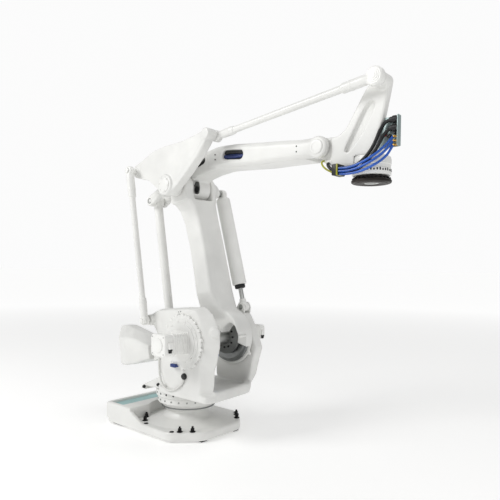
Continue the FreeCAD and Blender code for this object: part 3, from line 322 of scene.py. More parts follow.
def rounded(corners: list[tuple[float, float]], radius: float | list[float],
            steps: int = 5) -> np.ndarray:
    """Round the corners of an outline.

    Each corner becomes a quadratic curve that leaves its two sides at the distance where an arc
    of the radius would touch them, at most 0.45 of the shorter side.

    Args:
        corners: The outline's corners in order.
        radius: One radius, or one for each corner.
        steps: Points on each corner's curve.

    Returns:
        Points of the rounded outline, shape (n, 2).
    """
    spots = np.array(corners, float)
    radii = np.broadcast_to(np.asarray(radius, float), (len(spots),))
    before, after = np.roll(spots, 1, 0) - spots, np.roll(spots, -1, 0) - spots
    low, high = np.linalg.norm(before, axis=1), np.linalg.norm(after, axis=1)
    before, after = before / low[:, None], after / high[:, None]
    half = np.arccos(np.clip((before * after).sum(1), -1, 1)) / 2
    reach = np.minimum(radii / np.tan(np.maximum(half, 0.05)), 0.45 * np.minimum(low, high))
    start, end = spots + before * reach[:, None], spots + after * reach[:, None]
    t = np.linspace(0, 1, steps)[None, :, None]
    curve = ((1 - t) ** 2 * start[:, None] + 2 * t * (1 - t) * spots[:, None]
             + t ** 2 * end[:, None])
    return curve.reshape(-1, 2)


def oval(x: float, z: float, length: float, height: float, tilt: float) -> np.ndarray:
    """A slot's outline: two half circles joined by straight sides, its front tilted down."""
    angle = np.linspace(-math.pi / 2, math.pi / 2, 17)
    reach = (length - height) / 2
    end = np.stack([reach + height / 2 * np.cos(angle), height / 2 * np.sin(angle)], 1)
    spots = np.concatenate([end, -end])
    lean = math.radians(tilt)
    return np.stack([x + spots[:, 0] * math.cos(lean) + spots[:, 1] * math.sin(lean),
                     z - spots[:, 0] * math.sin(lean) + spots[:, 1] * math.cos(lean)], 1)


def inset(outline: np.ndarray, depth: float) -> np.ndarray:
    """Move each point of an outline inwards along the mean of its two side normals."""
    before, after = outline - np.roll(outline, 1, 0), np.roll(outline, -1, 0) - outline
    way = before / np.maximum(np.linalg.norm(before, axis=1), 1e-9)[:, None]
    way = way + after / np.maximum(np.linalg.norm(after, axis=1), 1e-9)[:, None]
    way /= np.maximum(np.linalg.norm(way, axis=1), 1e-9)[:, None]
    x, y = outline[:, 0], outline[:, 1]
    turn = np.sign((x * np.roll(y, -1) - y * np.roll(x, -1)).sum())
    return outline + turn * depth * np.stack([-way[:, 1], way[:, 0]], 1)


def plate(outline: np.ndarray, low: float, high: float, edge: float = 3.0, axis: int = 1,
          far_edge: float | None = None) -> Shape:
    """A plate with rounded rims: the outline is carried along an axis, drawn in at both faces.

    The rim follows a quarter circle: at height e(1-cos a) the outline is in by e(1-sin a).

    Args:
        outline: Rounded outline in the two other axes (X and Z for axis 1).
        low: Place of the first face.
        high: Place of the second face.
        edge: Radius of the first rim.
        axis: Axis of the thickness.
        far_edge: Radius of the second rim, if it differs.

    Returns:
        The plate.
    """
    bend = np.linspace(0, math.pi / 2, 4)
    far_edge = edge if far_edge is None else far_edge
    places = np.concatenate([low + edge * (1 - np.cos(bend)),
                             high - far_edge * (1 - np.cos(bend[::-1]))])
    depths = np.concatenate([edge * (1 - np.sin(bend)), far_edge * (1 - np.sin(bend[::-1]))])
    rings = [np.insert(inset(outline, d), axis, p, axis=1) for p, d in zip(places, depths)]
    return skin(np.stack(rings))


def block(low: tuple[float, float, float], high: tuple[float, float, float],
          radius: float = 6.0, edge: float = 3.0, axis: int = 1) -> Shape:
    """A block with rounded corners, from its low and its high corner."""
    a, b = [i for i in range(3) if i != axis]
    corners = [(low[a], low[b]), (high[a], low[b]), (high[a], high[b]), (low[a], high[b])]
    return plate(rounded(corners, radius), low[axis], high[axis], edge, axis)


def turned(profile: list[tuple[float, float]], centre: tuple[float, float, float],
           axis: int = 1, count: int = 72) -> Shape:
    """A turned piece: each profile point is a circle of its radius at its place on the axis.

    Args:
        profile: Pairs of radius and place along the axis, from one end to the other.
        centre: A point on the axis; its own place on the axis is added to the profile's.
        axis: The axis, 0, 1 or 2.
        count: Points on each circle.

    Returns:
        The closed surface.
    """
    angle = np.linspace(0, 2 * math.pi, count, endpoint=False)
    a, b = [(1, 2), (2, 0), (0, 1)][axis]
    data = np.array(profile, float)
    rings = np.zeros((len(data), count, 3))
    rings[..., axis] = data[:, 1, None]
    rings[..., a] = np.maximum(data[:, 0, None], 0.01) * np.cos(angle)
    rings[..., b] = np.maximum(data[:, 0, None], 0.01) * np.sin(angle)
    return skin(rings + np.array(centre, float))


def disc(radius: float, low: float, high: float, centre: tuple[float, float, float],
         edge: float = 2.0, axis: int = 1, count: int = 72) -> Shape:
    """A round plate or shaft with small rounded rims."""
    low, high = min(low, high), max(low, high)
    profile = [(radius - edge, low), (radius - 0.3 * edge, low + 0.3 * edge),
               (radius, low + edge), (radius, high - edge),
               (radius - 0.3 * edge, high - 0.3 * edge), (radius - edge, high)]
    return turned(profile, centre, axis, count)


def smooth_path(points: list[tuple[float, float, float]], steps: int = 12) -> np.ndarray:
    """A smooth line through points: each span is the cubic whose end slopes are half the
    distance between the points on either side."""
    spots = np.array(points, float)
    slopes = np.gradient(spots, axis=0)
    t = np.linspace(0, 1, steps, endpoint=False)[None, :, None]
    p0, p1, m0, m1 = (a[:, None] for a in (spots[:-1], spots[1:], slopes[:-1], slopes[1:]))
    line = ((2 * t ** 3 - 3 * t ** 2 + 1) * p0 + (t ** 3 - 2 * t ** 2 + t) * m0
            + (3 * t ** 2 - 2 * t ** 3) * p1 + (t ** 3 - t ** 2) * m1)
    return np.concatenate([line.reshape(-1, 3), spots[-1:]])


def tube(path: np.ndarray, radius: float | np.ndarray, count: int = 14) -> Shape:
    """A round tube along a line; each ring lies across the line's own direction.

    The ring's first axis is the last one made square to the new direction, so it never twists.

    Args:
        path: Points of the line.
        radius: One radius, or one for each point.
        count: Points on each ring.

    Returns:
        The closed tube.
    """
    way = np.gradient(path, axis=0)
    way /= np.linalg.norm(way, axis=1)[:, None]
    first = np.cross(way[0], [0.31, 0.87, 0.38])
    sides = np.zeros_like(path)
    for i, direction in enumerate(way):
        first = first - direction * (first @ direction)
        first = first / np.linalg.norm(first)
        sides[i] = first
    other = np.cross(way, sides)
    angle = np.linspace(0, 2 * math.pi, count, endpoint=False)
    ring = (np.cos(angle)[None, :, None] * sides[:, None]
            + np.sin(angle)[None, :, None] * other[:, None])
    radii = np.broadcast_to(np.asarray(radius, float), (len(path),))[:, None, None]
    return skin(path[:, None] + ring * radii)


def around(shape: Shape, count: int, centre: tuple[float, float, float], axis: int = 1,
           start: float = 0.0, sweep: float = 360.0) -> list[Shape]:
    """Copies of a shape spaced evenly about an axis."""
    step = sweep / count if sweep == 360.0 else sweep / max(count - 1, 1)
    return [shape.turned(start + i * step, centre, axis) for i in range(count)]


def socket_screw(radius: float, height: float, place: tuple[float, float, float],
                 axis: int = 1, sign: float = -1.0) -> Shape:
    """A socket-head screw that stands out of a face along an axis, with its hexagon recess."""
    profile = [(radius, 0), (radius, sign * height * 0.85), (radius * 0.85, sign * height),
               (radius * 0.5, sign * height), (radius * 0.46, sign * height * 0.4)]
    return turned(profile, place, axis, 12)


def hex_bolt(radius: float, height: float, place: tuple[float, float, float]) -> Shape:
    """A floor bolt: washer, hexagon head and stud end, upright."""
    washer = disc(radius * 1.75, 0, 5, place, 1, 2, 24)
    head = turned([(radius * 1.1, 5), (radius * 1.1, height * 0.62), (radius * 0.95, height * 0.7)],
                  place, 2, 6)
    stud = disc(radius * 0.6, height * 0.6, height, place, 2, 2, 16)
    return joined([washer, head, stud])


# ---------------------------------------------------------------- pieces

@dataclass
class Workshop:
    """Turns shapes into Blender pieces and keeps their materials."""

    paint: Paintshop = field(default_factory=Paintshop)
    triangles: int = 0

    def raw(self, name: str, shape: Shape) -> bpy.types.Object:
        """Write a shape into a new mesh object, in metres, with its place in the mesh."""
        mesh = bpy.data.meshes.new(name)
        mesh.from_pydata((shape.points * MM).tolist(), [], shape.faces)
        mesh.update()
        item = bpy.data.objects.new(name, mesh)
        bpy.context.scene.collection.objects.link(item)
        return item

    def finish(self, item: bpy.types.Object, body: str, finish: Finish, slot: str,
               replaces: tuple[str, ...] = (), crisp: float = 32.0) -> bpy.types.Object:
        """Shade, dress and mount a piece.

        Args:
            item: The piece.
            body: The CAD body it rides on.
            finish: Its finish.
            slot: Not used.
            replaces: CAD nodes that it stands for.
            crisp: Edges that turn by more degrees than this stay sharp.

        Returns:
            The piece.
        """
        mesh = item.data
        mesh.polygons.foreach_set("use_smooth", np.ones(len(mesh.polygons), bool))
        mesh.set_sharp_from_angle(angle=math.radians(crisp))
        mesh.materials.clear()
        mesh.materials.append(self.paint.material(finish))
        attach(item, body)
        if replaces:
            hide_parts(*replaces)
        mesh.calc_loop_triangles()
        self.triangles += len(mesh.loop_triangles)
        LOG.info("%s: %d triangles on %s", item.name, len(mesh.loop_triangles), body)
        return item

    def piece(self, name: str, shapes: list[Shape], body: str, finish: Finish, slot: str,
              replaces: tuple[str, ...] = (), crisp: float = 32.0) -> bpy.types.Object:
        """Make a piece straight from shapes."""
        return self.finish(self.raw(name, joined(shapes)), body, finish, slot, replaces, crisp)

    def casting(self, name: str, shapes: list[Shape], cutters: list[Shape], body: str,
                finish: Finish, slot: str, replaces: tuple[str, ...] = (),
                voxel: float = 7.0, rounds: int = 7) -> bpy.types.Object:
        """Melt overlapping shapes into one skin, cut its pockets and soften its edges.

        The union is sampled on a grid, the cutters are taken away, the result is sampled again
        and each point then moves towards the mean of its neighbours, which rounds edges by
        about twice the grid's pitch and leaves flat faces flat.

        Args:
            name: Name of the piece.
            shapes: Closed shapes that overlap.
            cutters: Closed shapes to take away.
            body: The CAD body it rides on.
            finish: Its finish.
            slot: Not used.
            replaces: CAD nodes that it stands for.
            voxel: Pitch of the grid.
            rounds: How often the points are evened out.

        Returns:
            The casting.
        """
        item = self.raw(name, joined(shapes))
        self._remesh(item, voxel)
        tool = None
        if cutters:
            tool = self.raw(name + "_tool", joined(cutters))
            self._remesh(tool, voxel * 0.7)
            self._settle(tool)
            cut = item.modifiers.new("cut", "BOOLEAN")
            cut.operation, cut.solver, cut.object = "DIFFERENCE", "MANIFOLD", tool
            self._remesh(item, voxel)
        soft = item.modifiers.new("soft", "SMOOTH")
        soft.factor, soft.iterations = 0.5, rounds
        self._settle(item)
        if tool:
            bpy.data.objects.remove(tool)
        return self.finish(item, body, finish, slot, replaces, 60.0)

    @staticmethod
    def _remesh(item: bpy.types.Object, voxel: float) -> None:
        """Add a voxel remesh of a pitch in millimetres."""
        melt = item.modifiers.new("melt", "REMESH")
        melt.mode, melt.voxel_size = "VOXEL", voxel * MM

    @staticmethod
    def _settle(item: bpy.types.Object) -> None:
        """Replace an object's mesh by what its modifiers make of it."""
        bpy.context.view_layer.update()
        graph = bpy.context.evaluated_depsgraph_get()
        mesh = bpy.data.meshes.new_from_object(item.evaluated_get(graph))
        item.modifiers.clear()
        item.data = mesh


@dataclass
class Pivots:
    """The places of the joints in X, Y and Z, in millimetres, read from the frame."""

    places: dict[str, np.ndarray]

    @classmethod
    def read(cls, joints: list[dict]) -> "Pivots":
        """Collect the joints' places."""
        return cls({j["name"]: np.array(j["pos_m"], float) / MM for j in joints if "pos_m" in j})

    def at(self, joint: str, y: float = 0.0) -> tuple[float, float, float]:
        """The place of a joint's axis at a place across the arm."""
        spot = self.places[joint]
        return (float(spot[0]), y, float(spot[2]))

    @property
    def lean(self) -> float:
        """How far the lower arm leans back from upright, in degrees."""
        way = self.places["link_turn"] - self.places["axis_2"]
        return math.degrees(math.atan2(-way[0], way[2]))

    @property
    def rise(self) -> float:
        """How far the upper arm points up from level, in degrees."""
        way = self.places["wrist_level"] - self.places["link_turn"]
        return math.degrees(math.atan2(way[2], way[0]))


@dataclass
class Base:
    """The floor casting with its cable tray, bolts and pedestal."""

    shop: Workshop
    top: float = 85.0
    foot: float = 12.0
    plate_radius: float = 70.0

    def build(self) -> None:
        """Make the pieces that stay on the floor."""
        self._plate()
        self._tray()
        self._pedestal()
        self._bolts()

    def _plate(self) -> None:
        """Base plate: the CAD outline with a soft top rim and holes."""
        corners = [(-640, -423), (221, -423), (426, -218), (426, 218), (221, 423), (-640, 423)]
        outline = rounded(corners, [60, 130, 130, 130, 130, 60], 9)
        slab = plate(outline, self.foot, self.top, 4, 2, 13)
        mound = turned([(356, 60), (352, self.top + 3), (300, 99), (216, 119), (197, 137),
                        (183, 160), (181, 192)], (0, 0, 0), 2, 120)
        cutters = [disc(15, 0, 130, (x, sign * y, 0), 0.5, 2, 24)
                   for sign in (-1, 1) for x, y in ((220, 378), (-110, 378))]
        self.shop.casting("base_casting", [slab, mound], cutters, "base", WHITE_ENAMEL,
                          "white_paint", ("base_plate",), 7.0, 5)

    def _tray(self) -> None:
        """Cable tray: a U of walls round a long recess with a teal floor."""
        profile = rounded([(-640, 40), (-282, 40), (-330, 188), (-640, 188)], [4, 4, 16, 26])
        body = plate(profile, -423, 423, 14, 1)
        rear = plate(rounded([(-640, -423), (-280, -423), (-280, 423), (-640, 423)],
                             [60, 3, 3, 60], 9), 40, 188, 3, 2, 12)
        pocket = block((-596, -388, 150), (-424, 330, 260), 16, 2, 2)
        dome = disc(350, 84, 400, (0, 0, 0), 1, 2, 96)
        flank = rounded([(-340, 60), (-340, 186), (-300, 170), (-150, 92), (-110, 84),
                         (-110, 60)], [4, 20, 40, 60, 20, 4])
        ribs = [plate(flank, low, low + 38, 10) for low in (-423, 385)]
        self.shop.casting("cable_tray", [body, rear, *ribs], [pocket, dome], "base", WHITE_ENAMEL,
                          "white_paint", ("cable_box",), 6.0, 4)
        floor = block((-598, -392, 150), (-422, 332, 166), 14, 1, 2)
        self.shop.piece("tray_floor", [floor], "base", TEAL_LACQUER, "teal_panel",
                        ("recess_panel",))
        glands = [turned([(26, 0), (26, -9), (20, -14), (20, -30), (13, -32)],
                         (-640 + 26, y, 118), 0, 28).moved(-2) for y in (-180, -90, 0, 90)]
        self.shop.piece("tray_glands", glands, "base", BLACK_NYLON, "white_paint")

    def _pedestal(self) -> None:
        """Neck, drive housing, its lip and the row of screws round it."""
        centre = (0.0, 0.0, 0.0)
        drive = turned([(180, 150), (181, 186), (196, 192), (222, 196), (228, 202), (228, 236),
                        (236, 240), (262, 243), (266, 249), (266, 296), (262, 299.8),
                        (120, 299.8)], centre, 2, 144)
        self.shop.piece("drive_housing", [drive], "base", WHITE_ENAMEL, "white_paint",
                        ("pedestal",))
        lip = turned([(232, 203), (236, 205), (236, 212), (232, 214)], centre, 2, 120)
        self.shop.piece("drive_lip", [lip], "base", GEAR_IRON, "white_paint")
        screws = [s for s in around(socket_screw(7.5, 5, (0, -265, 272)), 24, centre, 2)]
        self.shop.piece("drive_screws", screws, "base", PLATED_STEEL, "white_paint")

    def _bolts(self) -> None:
        """Floor bolts at the two rectangles of holes, and dark plugs in the open ones."""
        spots = [(268, 335), (-180, 335), (340, 262), (-255, 262)]
        bolts = [hex_bolt(14, 44, (x, sign * y, self.top)) for sign in (-1, 1) for x, y in spots]
        self.shop.piece("floor_bolts", bolts, "base", BLACK_OXIDE, "white_paint", crisp=25)
        liners = [turned([(14.6, -60), (14.6, 1.7), (18.5, 1.7), (18.8, 1.2), (18.8, -3)],
                         (x, sign * y, self.top), 2, 28)
                  for sign in (-1, 1) for x, y in ((220, 378), (-110, 378))]
        self.shop.piece("levelling_bushes", liners, "base", BLACK_OXIDE, "white_paint")


@dataclass
class TurningFrame:
    """The two-walled casting that turns on the base, its drives, motors and leads."""

    shop: Workshop
    pivots: Pivots
    near_face: float = -330.0
    near_inner: float = -250.0
    far_inner: float = 240.0
    far_face: float = 335.0

    def build(self) -> None:
        """Make the pieces of the frame body."""
        self._casting()
        self._flange()
        self._near_drive()
        self._far_drive()
        self._rear()
        self._plugs()
        self._small_parts()

    def _about_shoulder(self, points: list[tuple[float, float]]) -> list[tuple[float, float]]:
        """Shift points from the shoulder's frame to the floor's."""
        x, _, z = self.pivots.at("axis_2")
        return [(x + a, z + b) for a, b in points]

    def _casting(self) -> None:
        """Near wall with its broad front bevel, far wall, and the floor with its front lip."""
        full = [(-36, -459), (250, -459), (282, -330), (285, -208), (312, -150), (348, 8),
                (330, 121), (265, 231), (186, 288), (0, 276), (-346, 240), (-413, 202),
                (-413, 128), (-345, 38), (-304, -142), (-303, -285), (-224, -390)]
        radii = [30, 60, 40, 40, 50, 60, 50, 60, 70, 90, 40, 36, 34, 70, 60, 50, 60]
        drawn_in = [(-36, -440), (170, -440), (186, -330), (188, -208), (196, -150), (214, 8),
                    (200, 100), (176, 190), (130, 262), (0, 258), (-330, 226), (-398, 192),
                    (-398, 134), (-334, 40), (-292, -142), (-290, -285), (-214, -380)]
        full = rounded(self._about_shoulder(full), radii, 6)
        drawn_in = rounded(self._about_shoulder(drawn_in), radii, 6)
        rings = [np.insert(drawn_in, 1, self.near_face, axis=1),
                 np.insert(0.12 * full + 0.88 * drawn_in, 1, self.near_face + 6, axis=1),
                 np.insert(0.93 * full + 0.07 * drawn_in, 1, self.near_inner - 8, axis=1),
                 np.insert(full, 1, self.near_inner, axis=1)]
        near = skin(np.stack(rings))
        far_points = [(-140, -459), (120, -459), (205, -330), (240, -200), (275, -86),
                      (198, 93), (163, 150), (128, 204), (-190, 204), (-246, 175),
                      (-320, 118), (-320, 16), (-245, 20), (-200, -150), (-200, -370)]
        far = plate(rounded(self._about_shoulder(far_points), 44, 6), self.far_inner,
                    self.far_face, 12)
        floor = plate(rounded([(-36, -330), (556, -330), (590, -250), (560, 180), (440, 330),
                               (60, 330), (-36, 250)], [60, 40, 60, 160, 90, 60, 80], 8),
                      355.5, 412, 10, 2)
        rim = plate(rounded([(520, -255), (592, -262), (562, 190), (448, 328), (400, 280),
                             (505, 160)], 40, 6), 380, 440, 12, 2)
        skirt = turned([(250, 356), (283, 356), (283, 372), (284, 396), (240, 408)],
                       (20, 0, 0), 2, 96)
        pad_boss = disc(40, -296, -268, (606, 0, 911), 3, 1)
        pad_boss = pad_boss.turned(32, (606, -282, 911), 2)
        foot = disc(46, self.near_face - 40, self.near_inner, self.pivots.at("lower_rod_turn"), 8)
        self.shop.casting("frame_casting", [near, far, floor, rim, skirt, pad_boss, foot], [],
                          "frame", CAST_ENAMEL, "white_paint",
                          ("frame", "balancer_ears"), 8.0, 5)
        foot_x, _, foot_z = self.pivots.at("balancer_swing")
        ears = [plate(rounded([(foot_x - 56, 1004), (foot_x + 40, 1004), (foot_x + 44, foot_z),
                               (foot_x + 22, foot_z + 42), (foot_x - 22, foot_z + 42),
                               (foot_x - 46, foot_z)], 24, 6), y, y + 13, 3)
                for y in (247.0, 320.0)]
        self.shop.piece("balancer_clevis", ears, "frame", WHITE_ENAMEL, "white_paint")

    def _flange(self) -> None:
        """The turning flange, with black discs painted as the shade inside its row of holes."""
        ring = turned([(150, 300.6), (276, 300.6), (280, 304), (280, 349), (284, 352),
                       (284, 356), (150, 356)], (0, 0, 0), 2, 144)
        self.shop.piece("flange_ring", [ring], "frame", WHITE_ENAMEL, "white_paint",
                        ("turning_flange",))
        # painted shade: black discs stand in for the unlit insides of the flange's holes
        holes = around(disc(8.5, -281.2, -270, (0, 0, 330), 0.6, 1, 20), 24, (0, 0, 0), 2, 6)
        self.shop.piece("flange_hole_shade_discs", holes, "frame", BLACK_NYLON, "white_paint")

    def _near_drive(self) -> None:
        """The near gearbox's scalloped ring, its screws and the motor with its ribs."""
        centre = self.pivots.at("axis_2")
        face = self.near_face
        angle = np.linspace(0, 2 * math.pi, 360, endpoint=False)
        radius = 214 + 9 * np.clip(np.cos(angle * 18), -0.35, 0.6)
        outline = np.stack([centre[0] + radius * np.cos(angle),
                            centre[2] + radius * np.sin(angle)], 1)
        ring = plate(outline, face - 15, face + 4, 3, 1, 1)
        step = disc(182, face - 20, face - 8, centre, 3)
        boss = disc(150, face - 26, face - 12, centre, 4)
        self.shop.piece("near_gearbox_ring", [ring, step, boss], "frame", CAST_ENAMEL,
                        "white_paint", ("near_gearbox",))
        screws = around(disc(15, -17, 3, (centre[0] + 213, face, centre[2]), 3, 1, 20), 18,
                        (centre[0], 0, centre[2]), 1, 10)
        screws += around(socket_screw(5.5, 4, (centre[0] + 166, face - 20, centre[2])), 12,
                         (centre[0], 0, centre[2]), 1, 15)
        self.shop.piece("near_gearbox_screws", screws, "frame", WHITE_ENAMEL, "white_paint")
        self._motor("near", centre, -346.0, -595.5, 92.0)

    def _motor(self, side: str, centre: tuple[float, float, float], start: float, end: float,
               half: float) -> None:
        """A servo motor: flange, rounded square body with ribs, end cap and plugs.

        Args:
            side: "near" or "far", which names the pieces.
            centre: The shoulder axis.
            start: Place of its flange across the arm.
            end: Place of its outer end.
            half: Half its width.
        """
        x, _, z = centre
        sign = math.copysign(1.0, end - start)
        span = abs(end - start)

        def part(low: float, high: float, size: float, corner: float, edge: float) -> Shape:
            """A rounded square length of the motor, placed by shares of its length."""
            a, b = sorted((start + sign * low * span, start + sign * high * span))
            corners = [(x - size, z - size), (x + size, z - size), (x + size, z + size),
                       (x - size, z + size)]
            return plate(rounded(corners, corner, 7), a, b, edge)

        body = [part(0.0, 0.07, half, 18, 3), part(0.05, 0.62, half * 0.9, 30, 4),
                part(0.6, 0.66, half * 0.97, 26, 3), part(0.64, 0.97, half * 0.92, 34, 8),
                disc(half * 0.6, start + sign * 0.9 * span, start + sign * span, centre, 4)]
        ribs = []
        for i in range(7):
            low, high = 0.1 + i * 0.07, 0.125 + i * 0.07
            ribs.append(part(low, high, half * 0.94, 26, 2))
        self.shop.piece(f"{side}_motor_body", body + ribs, "frame", MOTOR_ENAMEL, "motor_paint",
                        (f"{side}_motor",))
        screws = [socket_screw(6, 6, (x + a * half * 0.74, start + sign * 0.07 * span,
                                      z + b * half * 0.74), 1, sign)
                  for a in (-1, 1) for b in (-1, 1)]
        screws += [socket_screw(4, 3, (x + a * half * 0.7, start + sign * 0.97 * span,
                                       z + b * half * 0.7), 1, sign)
                   for a in (-1, 1) for b in (-1, 1)]
        self.shop.piece(f"{side}_motor_screws", screws, "frame", PLATED_STEEL, "motor_paint")
        low, high = sorted((start + sign * 0.70 * span, start + sign * 0.86 * span))
        plugs = [block((x + half * 0.8, low, z - 26), (x + half * 1.12, high, z + 26), 8, 3, 0)]
        self.shop.piece(f"{side}_motor_box", plugs, "frame", MOTOR_ENAMEL, "motor_paint")
        middle = (low + high) / 2
        gland = turned([(17, 0), (17, -12), (13, -16), (13, -30), (8, -32)],
                       (x + half * 0.96, middle, z - 24), 2, 24)
        self.shop.piece(f"{side}_motor_gland", [gland], "frame", BLACK_NYLON, "motor_paint")

    def _far_drive(self) -> None:
        """The far gearbox as a stepped cone with screws, and its motor."""
        centre = self.pivots.at("axis_2")
        face = self.far_face
        cone = turned([(188, face - 2), (190, face + 4), (190, face + 16), (176, face + 22),
                       (158, face + 58), (150, face + 68), (112, face + 70)], centre, 1, 96)
        self.shop.piece("far_gearbox_cone", [cone], "frame", CAST_ENAMEL, "white_paint",
                        ("far_gearbox",))
        screws = around(socket_screw(9, 7, (centre[0] + 182, face + 16, centre[2]), 1, 1.0), 16,
                        (centre[0], 0, centre[2]), 1, 8)
        self.shop.piece("far_gearbox_screws", screws, "frame", PLATED_STEEL, "white_paint")
        self._motor("far", centre, 405.0, 615.0, 72.0)
        gear = turned([(60, 196), (70, 190), (120, 186), (128, 180), (196, 176), (204, 182),
                       (222, 186), (226, 196), (226, 236), (60, 238)], centre, 1, 120)
        self.shop.piece("inner_gear_face", [gear], "frame", GEAR_IRON, "white_paint")

    def _rear(self) -> None:
        """The closed box low at the back, with two black plugs in its near side."""
        low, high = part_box("rear_housing")
        x0, x1 = low[0] / MM, high[0] / MM
        lip = [(x0, 324), (-289, 324), (-289, 379), (x0, 353)]
        housing = [(-325, 356), (x1, 356), (x1, 467), (-92, 467), (-325, 364)]
        shapes = [plate(rounded(lip, 3), -250, 180, 2),
                  plate(rounded(housing, [3, 6, 24, 60, 3]), -250, 180, 4)]
        self.shop.casting("rear_cable_box", shapes, [], "frame", WHITE_ENAMEL, "white_paint",
                          ("rear_housing",), 5.0, 3)
        plugs = [turned([(16, 0), (16, -6), (11, -8), (11, -16), (6, -17)], (x, -249, z), 1, 24)
                 for x, z in ((-302, 346.5), (-107, 392.5))]
        self.shop.piece("rear_gland_plugs", plugs, "frame", BLACK_NYLON, "black_plastic",
                        ("rear_plugs",))

    def _plugs(self) -> None:
        """The round plug of the motor's lead and the flat connector on the gearbox ring."""
        low = np.array(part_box("wall_connectors")[0]) / MM
        x, _, z = self.pivots.at("axis_2")
        plug = turned([(24, 0), (24, -14), (20, -18), (20, -22)],
                      (x + 18, self.near_face, z - 273.5), 1, 36)
        grips = around(turned([(1.8, -13), (1.8, -1)], (x + 18 + 23.4, self.near_face, z - 273.5),
                              1, 6), 20, (x + 18, 0, z - 273.5), 1)
        self.shop.piece("lead_plug", [plug] + grips, "frame", BLACK_NYLON, "black_plastic",
                        ("wall_connectors",))
        blue = [block((low[0], low[1], z - 210), (low[0] + 64, low[1] + 26, z - 182), 9, 4),
                turned([(9, 0), (9, 10), (6, 12), (6, 22), (3, 23)],
                       (low[0] + 60, low[1] + 13, z - 197), 0, 20)]
        self.shop.piece("blue_connector", blue, "frame", DEEP_BLUE, "blue_hose")

    def _small_parts(self) -> None:
        """Pins and the screws on the near wall."""
        centre = self.pivots.at("lower_rod_turn")
        pin = turned([(20, -448), (20, -340)], (centre[0], 0, centre[2]), 1, 32)
        collar = turned([(36, -369), (36, -330), (40, -326)], (centre[0], 0, centre[2]), 1, 40)
        self.shop.piece("rod_foot", [pin, collar], "frame", WHITE_ENAMEL, "white_paint",
                        ("rod_foot_pin",))
        x, _, z = self.pivots.at("axis_2")
        screws = [socket_screw(5, 3, (x + a, self.near_face, z + b))
                  for a, b in ((-60, 236), (-35, 240), (-20, 222), (-52, 218))]
        self.shop.piece("wall_screws", screws, "frame", PLATED_STEEL, "white_paint")


